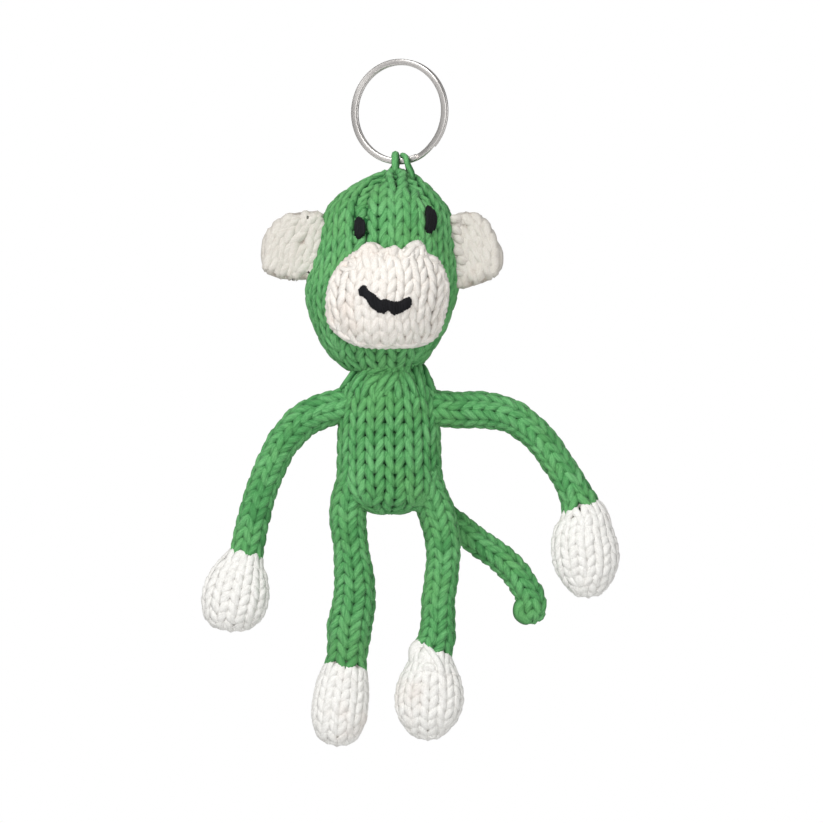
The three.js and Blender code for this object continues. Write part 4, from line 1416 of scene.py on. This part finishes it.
# Eyes and mouth: satin stitches of black yarn laid side by side
stitchLook = {
    "radius": 0.5,
    "arch": 0.5,
    "dip": 1.4,
    "eyeSpread": 0.74,
    "eyeRoundness": 2.2,
    "eyeUneven": (0.97, 1.03),
    "mouthUneven": 0.03,
    "leftEye": {"centre": (-10.5, -43.8), "half": (1.4, 2.7), "bow": 0.25, "strands": 5},
    "rightEye": {"centre": (8.0, -41.6), "half": (1.4, 3.65), "bow": 0.9, "strands": 5},
    "mouthTop": [
        (-10.5, -60.4), (-9.2, -58.9), (-8.7, -59.8), (-7.4, -60.9), (-6.2, -61.7), (-5.3, -62.7),
        (-3.2, -62.8), (-1.6, -63.2), (0.1, -63.1), (1.2, -62.7), (2.5, -62.1), (2.9, -63.0),
    ],
    "mouthFoot": [
        (-10.4, -61.4), (-9.3, -61.9), (-8.3, -62.9), (-7.6, -64.0), (-7.0, -65.0), (-6.3, -65.5),
        (-5.2, -66.1), (-3.9, -66.3), (-3.2, -65.5), (-2.4, -65.6), (-1.9, -66.3), (-1.2, -66.6),
        (-0.1, -66.2), (1.1, -65.6), (2.3, -64.9), (3.0, -63.6),
    ],
    "mouthStrands": 24,
}


def satinStrand(mesh, xs, zs, surface):
    # one thread over the knit: both ends go down into it
    share = np.linspace(-1, 1, len(xs))
    rise = stitchLook["arch"] * (1 - share**4) - stitchLook["dip"] * np.abs(share) ** 10
    points = np.stack([xs, surface(xs, zs) - rise, zs], axis=-1)
    tone = 0.5 + chance.normal(0, 0.05)
    mesh.strand(points, forward, stitchLook["radius"], tone, closed=False)


def makeEye(name, eye):
    mesh = YarnMesh()
    halfWidth, halfHeight = eye["half"]
    share = np.linspace(-1, 1, 12)
    spread = stitchLook["eyeSpread"]
    for side in np.linspace(-spread, spread, eye["strands"]):
        half = halfHeight * (1 - abs(side) ** stitchLook["eyeRoundness"]) ** 0.5
        half = half * chance.uniform(*stitchLook["eyeUneven"])
        bulge = 1 - (share * half / halfHeight) ** 2
        zs = eye["centre"][1] - share * half
        xs = eye["centre"][0] + eye["bow"] * bulge - eye["bow"] / 2
        xs = xs + side * halfWidth * (0.8 + 0.2 * bulge)
        satinStrand(mesh, xs, zs, faceY)
    return mesh.build(name, [blackYarn])


for name in ("leftEye", "rightEye"):
    eye = makeEye(name, stitchLook[name])
    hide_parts(nodeName(name))
    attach(eye, "head")


def muzzleY(x, z):
    return muzzleForm.place(x, z, 0.0)[0][..., 1] + 0.15


def alongEdge(spots, count):
    path = frontPath(spots, fineSteps)
    gone = runLength(path)
    return rowsAt((np.arange(count) + 0.5) / count * gone[-1], gone, path)


def makeMouth():
    mesh = YarnMesh()
    edges = (stitchLook["mouthTop"], stitchLook["mouthFoot"])
    top, foot = (alongEdge(edge, stitchLook["mouthStrands"]) for edge in edges)
    share = np.linspace(0, 1, 10)[:, None]
    for upper, lower in zip(top, foot):
        uneven = chance.uniform(-stitchLook["mouthUneven"], stitchLook["mouthUneven"])
        line = upper * (1 - share - uneven) + lower * (share + uneven)
        satinStrand(mesh, line[:, 0], line[:, 2], muzzleY)
    return mesh.build("mouth", [blackYarn])


mouthStitches = makeMouth()
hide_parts("mouth")
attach(mouthStitches, "head")
print("face stitched")


# Ears: flat knitted half rounds with a rolled edge
earLook = {
    "left": {
        "centre": (-26.0, -48.2),
        "outline": [
            (-20.2, -39.7), (-24.7, -39.2), (-29.8, -40.1), (-33.8, -42.8), (-36.2, -46.6), (-36.5, -50.8),
            (-35.9, -54.0), (-33.6, -55.8), (-29.0, -56.7), (-24.4, -56.7), (-19.0, -55.4), (-16.6, -48.0),
        ],
        "turn": -24,
        "sewing": [],
        "hinge": (-24.4, -1.0, -47.5),
        "outward": (-1.0, 0.0, 0.0),
    },
    "right": {
        "centre": (18.2, -49.6),
        "outline": [
            (14.6, -39.9), (18.4, -39.3), (22.2, -40.8), (25.2, -45.6), (27.3, -50.2), (26.9, -53.9),
            (24.0, -56.6), (19.4, -58.4), (15.0, -59.0), (12.0, -54.5), (11.2, -49.0), (12.0, -43.0),
        ],
        "turn": 16,
        "sewing": [
            (14.1, -41.2), (14.3, -43.9), (15.0, -46.3), (14.8, -49.6), (15.7, -52.0), (15.2, -55.3),
        ],
        "hinge": (17.6, -1.0, -49.0),
        "outward": (1.0, 0.0, 0.0),
    },
}
earPatch = {
    "middleY": -1.0,
    "edge": 1.7,
    "height": 2.7,
    "wale": 3.9,
    "pitch": 3.3,
    "within": 0.94,
    "rimInset": 1.1,
    "rimRadius": 1.3,
    "rimWave": (0.06, 1.7),
    "rowInset": 0.8,
    "coreShares": (0.1, 0.5, 0.9, 0.96),
    "coreLift": -0.7,
    "underInset": 2.2,
    "underRadius": 1.1,
    "underLift": -0.9,
    "sewnRadii": (1.15, 1.4),
    "sewnReach": (1.9, 3.0),
    "sewnDrop": (-1.1, 0.7),
    "foldReach": (1.5, 2.0),
}
earYarn = dict(
    creamKnit, radius=1.5, flat=0.42, bulge=0.5, pinch=0.34, divePower=6.0, reach=0.95, leanLeft=0.23,
    leanRight=0.21, jitter=0.07, shade=0.3,
)


def earMiddle(x, z):
    return np.full_like(x, earPatch["middleY"])


def knitEar(side, look):
    mesh = YarnMesh()
    look = dict(earPatch, **look)
    faces = [PatchForm(look, earMiddle, -1), PatchForm(look, earMiddle, 1)]
    for form in faces:
        knitPatch(mesh, form, earYarn)
    core = []
    for form, shares in zip(faces, (look["coreShares"], look["coreShares"][::-1])):
        core += [form.place(*form.shrunk(share), look["coreLift"])[0] for share in shares]
    mesh.shell(np.array(core), 0)
    # a round of yarn under the outer stitches of each face
    for form in faces:
        points, outward = form.place(*form.ring(look["underInset"]), look["underLift"])
        mesh.strand(points, outward, look["underRadius"], 0.5, closed=True, flat=0.7)
    # the rolled edge
    x, z = faces[0].ring(look["rimInset"])
    points = np.stack([x, earMiddle(x, z), z], axis=-1)
    out = unit(points - [look["centre"][0], look["middleY"], look["centre"][1]])
    mesh.strand(points, out, rimWidth(look, len(x)), 0.52, closed=True, sides=8)
    for x, z in look["sewing"]:
        # a stitch that goes over the edge into the head
        far = chance.uniform(*look["sewnReach"])
        drop = chance.uniform(*look["sewnDrop"])
        spots = [
            (x - 0.3, -2.7, z + 0.4), (x + 0.3, -3.4, z + 0.2), (x + far / 2, -3.1, z + drop / 2),
            (x + far, -1.7, z + drop),
        ]
        line = finePath(spots, 6)
        width = chance.uniform(*look["sewnRadii"]) * np.array([0.55, 0.85] + [1] * (len(line) - 2))
        mesh.strand(line, forward, width, 0.5, closed=False, sides=8, flat=0.8)
    return mesh.build(side + "Ear", [earYarnFinish])


for side, look in earLook.items():
    ear = knitEar(side, look)
    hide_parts(side + "_ear")
    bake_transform(ear)
print("ears knitted")


# Hanging loop: two passes of yarn over the ring's wire, down into the crown
loopLook = {
    "wire": (0.0, 0.0, -25.52),
    "across": (0.90631, -0.42262, 0.0),
    "facing": (0.42262, 0.90631, 0.0),
    "passes": [
        {"radius": 1.08, "top": -1.2, "over": 1.75, "legs": (-0.2, -2.2), "feet": (-0.3, -4.2)},
        {"radius": 0.82, "top": 0.9, "over": 1.5, "legs": (3.5, 1.5), "feet": (4.6, 2.6)},
    ],
    "bend": ((0, 0, -27.0), (0, 0, -30.4)),
}


def makeLoop():
    mesh = YarnMesh()
    wire, across, facing = (np.array(loopLook[key]) for key in ("wire", "across", "facing"))
    up = np.array([0.0, 0.0, 1.0])
    for one in loopLook["passes"]:
        # front foot, up over the wire, and down behind
        front, back = one["legs"]
        frontFoot, backFoot = one["feet"]
        shape = [
            (frontFoot * 0.8, 0.0, -5.6),
            (frontFoot * 0.85 + front * 0.15, -1.7, -3.5),
            (front, -2.1, -1.2),
            (front * 0.6 + one["top"] * 0.4, -1.5, 0.9),
            (one["top"], 0.0, one["over"]),
            (back * 0.6 + one["top"] * 0.4, 1.5, 0.9),
            (back, 2.1, -1.2),
            (backFoot * 0.85 + back * 0.15, 1.7, -3.5),
            (backFoot * 0.8, 0.0, -5.6),
        ]
        points = np.array([wire + across * a + facing * b + up * c for a, b, c in shape])
        path = finePath(points, 6)
        centre = wire + across * np.array([(path - wire) @ across]).T
        mesh.strand(path, unit(path - centre), one["radius"], 0.55, closed=False, sides=8)
    return mesh.build("hangingLoop", [greenYarn])


hangingLoop = makeLoop()
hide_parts("hanging_loop")
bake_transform(hangingLoop)
print("loop made")


# Split ring: a flat wire spun twice round, with one step from turn to turn
ringLook = {
    "outerRadius": 14.0,
    "wireWidth": 1.65,
    "wireThickness": 0.88,
    "gap": 0.08,
    "centre": (0.0, 0.0, -12.35),
    "facing": 25,
    "jogDegrees": 24,
    "endDegrees": 157,
    "jogSteps": 6,
    "edgeRounding": 0.38,
}


def makeRing():
    look = ringLook
    layer = look["wireThickness"] + look["gap"]
    jog = math.radians(look["jogDegrees"])
    bpy.ops.object.select_all(action="DESELECT")
    bpy.ops.mesh.primitive_plane_add(
        size=1,
        location=(0, -layer / 2 * mm, (look["outerRadius"] - look["wireWidth"] / 2) * mm),
        rotation=(math.radians(90), 0, math.radians(90)),
    )
    made = bpy.context.object
    made.name = "splitRing"
    made.data.name = "splitRing"
    made.scale = (look["wireThickness"] * mm, look["wireWidth"] * mm, 1)
    bpy.ops.object.transform_apply(location=True, rotation=True, scale=True)
    bpy.ops.object.mode_set(mode="EDIT")
    bpy.ops.mesh.select_all(action="SELECT")
    bpy.ops.mesh.bevel(offset=look["edgeRounding"] * mm, segments=4, affect="VERTICES")
    bpy.ops.mesh.select_mode(type="FACE")
    bpy.ops.mesh.select_all(action="SELECT")
    turn = {"steps": 80, "angle": jog - 2 * math.pi, "center": (0, 0, 0), "axis": (0, 1, 0)}
    bpy.ops.mesh.spin(**turn)
    for _ in range(look["jogSteps"]):
        bpy.ops.mesh.extrude_region()
        bpy.ops.transform.rotate(
            value=-jog / look["jogSteps"], orient_axis="Y", center_override=(0, 0, 0)
        )
        bpy.ops.transform.translate(value=(0, layer / look["jogSteps"] * mm, 0))
    bpy.ops.mesh.spin(**turn)
    bpy.ops.mesh.select_all(action="SELECT")
    bpy.ops.mesh.normals_make_consistent(inside=False)
    bpy.ops.object.mode_set(mode="OBJECT")
    made.rotation_euler = (0, math.radians(look["endDegrees"]), -math.radians(look["facing"]))
    made.location = [value * mm for value in look["centre"]]
    bpy.ops.object.transform_apply(location=True, rotation=True, scale=True)
    bpy.ops.object.shade_smooth_by_angle(angle=math.radians(40))
    made.data.materials.append(ringSteel)
    return made


ring = makeRing()
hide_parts("key_ring")
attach(ring, "key_ring")
print("ring made")


# Light, floor and backdrop: plain white to the camera
stageLook = {
    "toyMiddle": (0, 0, -0.09),
    "floorZ": -0.235,
    "floorSize": 3.0,
    "worldLight": 0.3,
    "cameraWhite": (1, 1, 1, 1),
    "paper": (0.86, 0.86, 0.86, 1),
    "lamps": {
        "topLamp": {"place": (-0.45, -0.75, 0.7), "size": 0.6, "power": 9.8},
        "frontLamp": {"place": (0.35, -1.3, -0.05), "size": 0.7, "power": 8.0},
        "backLamp": {"place": (-0.25, 1.3, 0.25), "size": 0.7, "power": 4.0},
    },
    "cards": {
        "frontCard": {"place": (0.1, -0.9, -0.05), "size": 0.3, "glow": 0.02},
        "sideCard": {"place": (0.8, -0.2, 0.1), "size": 0.3, "glow": 0.02},
        "paleCard": {"place": (-0.66, -0.56, 0.02), "size": 0.3, "glow": 0.52},
    },
}


def stageFinish():
    f = Finish(bpy.data.materials.new("stageWhite"))
    seen = f.node("LightPath")
    paper = f.node("BsdfDiffuse", {"Color": stageLook["paper"]})
    return f.finish(f.node("MixShader", {0: seen, 1: paper, 2: f.glow(stageLook["cameraWhite"])}))


def worldFinish():
    world = bpy.data.worlds.new("studio")
    bpy.context.scene.world = world
    f = Finish(world, "OutputWorld")
    seen = f.node("LightPath")
    around, white = (
        f.node("Background", {0: stageLook["cameraWhite"], 1: strength})
        for strength in (stageLook["worldLight"], 1.0)
    )
    return f.finish(f.node("MixShader", {0: seen, 1: around, 2: white}))


def cardFinish(name, glow):
    f = Finish(bpy.data.materials.new(name))
    return f.finish(f.glow((glow, glow, glow, 1)))


worldFinish()
bpy.ops.object.select_all(action="DESELECT")
bpy.ops.mesh.primitive_plane_add(size=stageLook["floorSize"], location=(0, 0, stageLook["floorZ"]))
floor = bpy.context.object
floor.name = "floor"
floor.data.materials.append(stageFinish())


def turnToToy(made):
    toward = Vector(stageLook["toyMiddle"]) - made.location
    made.rotation_euler = toward.to_track_quat("-Z", "Y").to_euler()


for name, look in stageLook["lamps"].items():
    lamp = bpy.data.lights.new(name, "AREA")
    lamp.size = look["size"]
    lamp.energy = look["power"]
    made = bpy.data.objects.new(name, lamp)
    made.location = look["place"]
    turnToToy(made)
    bpy.context.scene.collection.objects.link(made)

# cards that show only in reflections
for name, look in stageLook["cards"].items():
    bpy.ops.object.select_all(action="DESELECT")
    bpy.ops.mesh.primitive_plane_add(size=look["size"], location=look["place"])
    card = bpy.context.object
    card.name = name
    turnToToy(card)
    card.data.materials.append(cardFinish(name, look["glow"]))
    card.visible_camera = False
    card.visible_diffuse = False
    card.visible_shadow = False
print("stage lit")
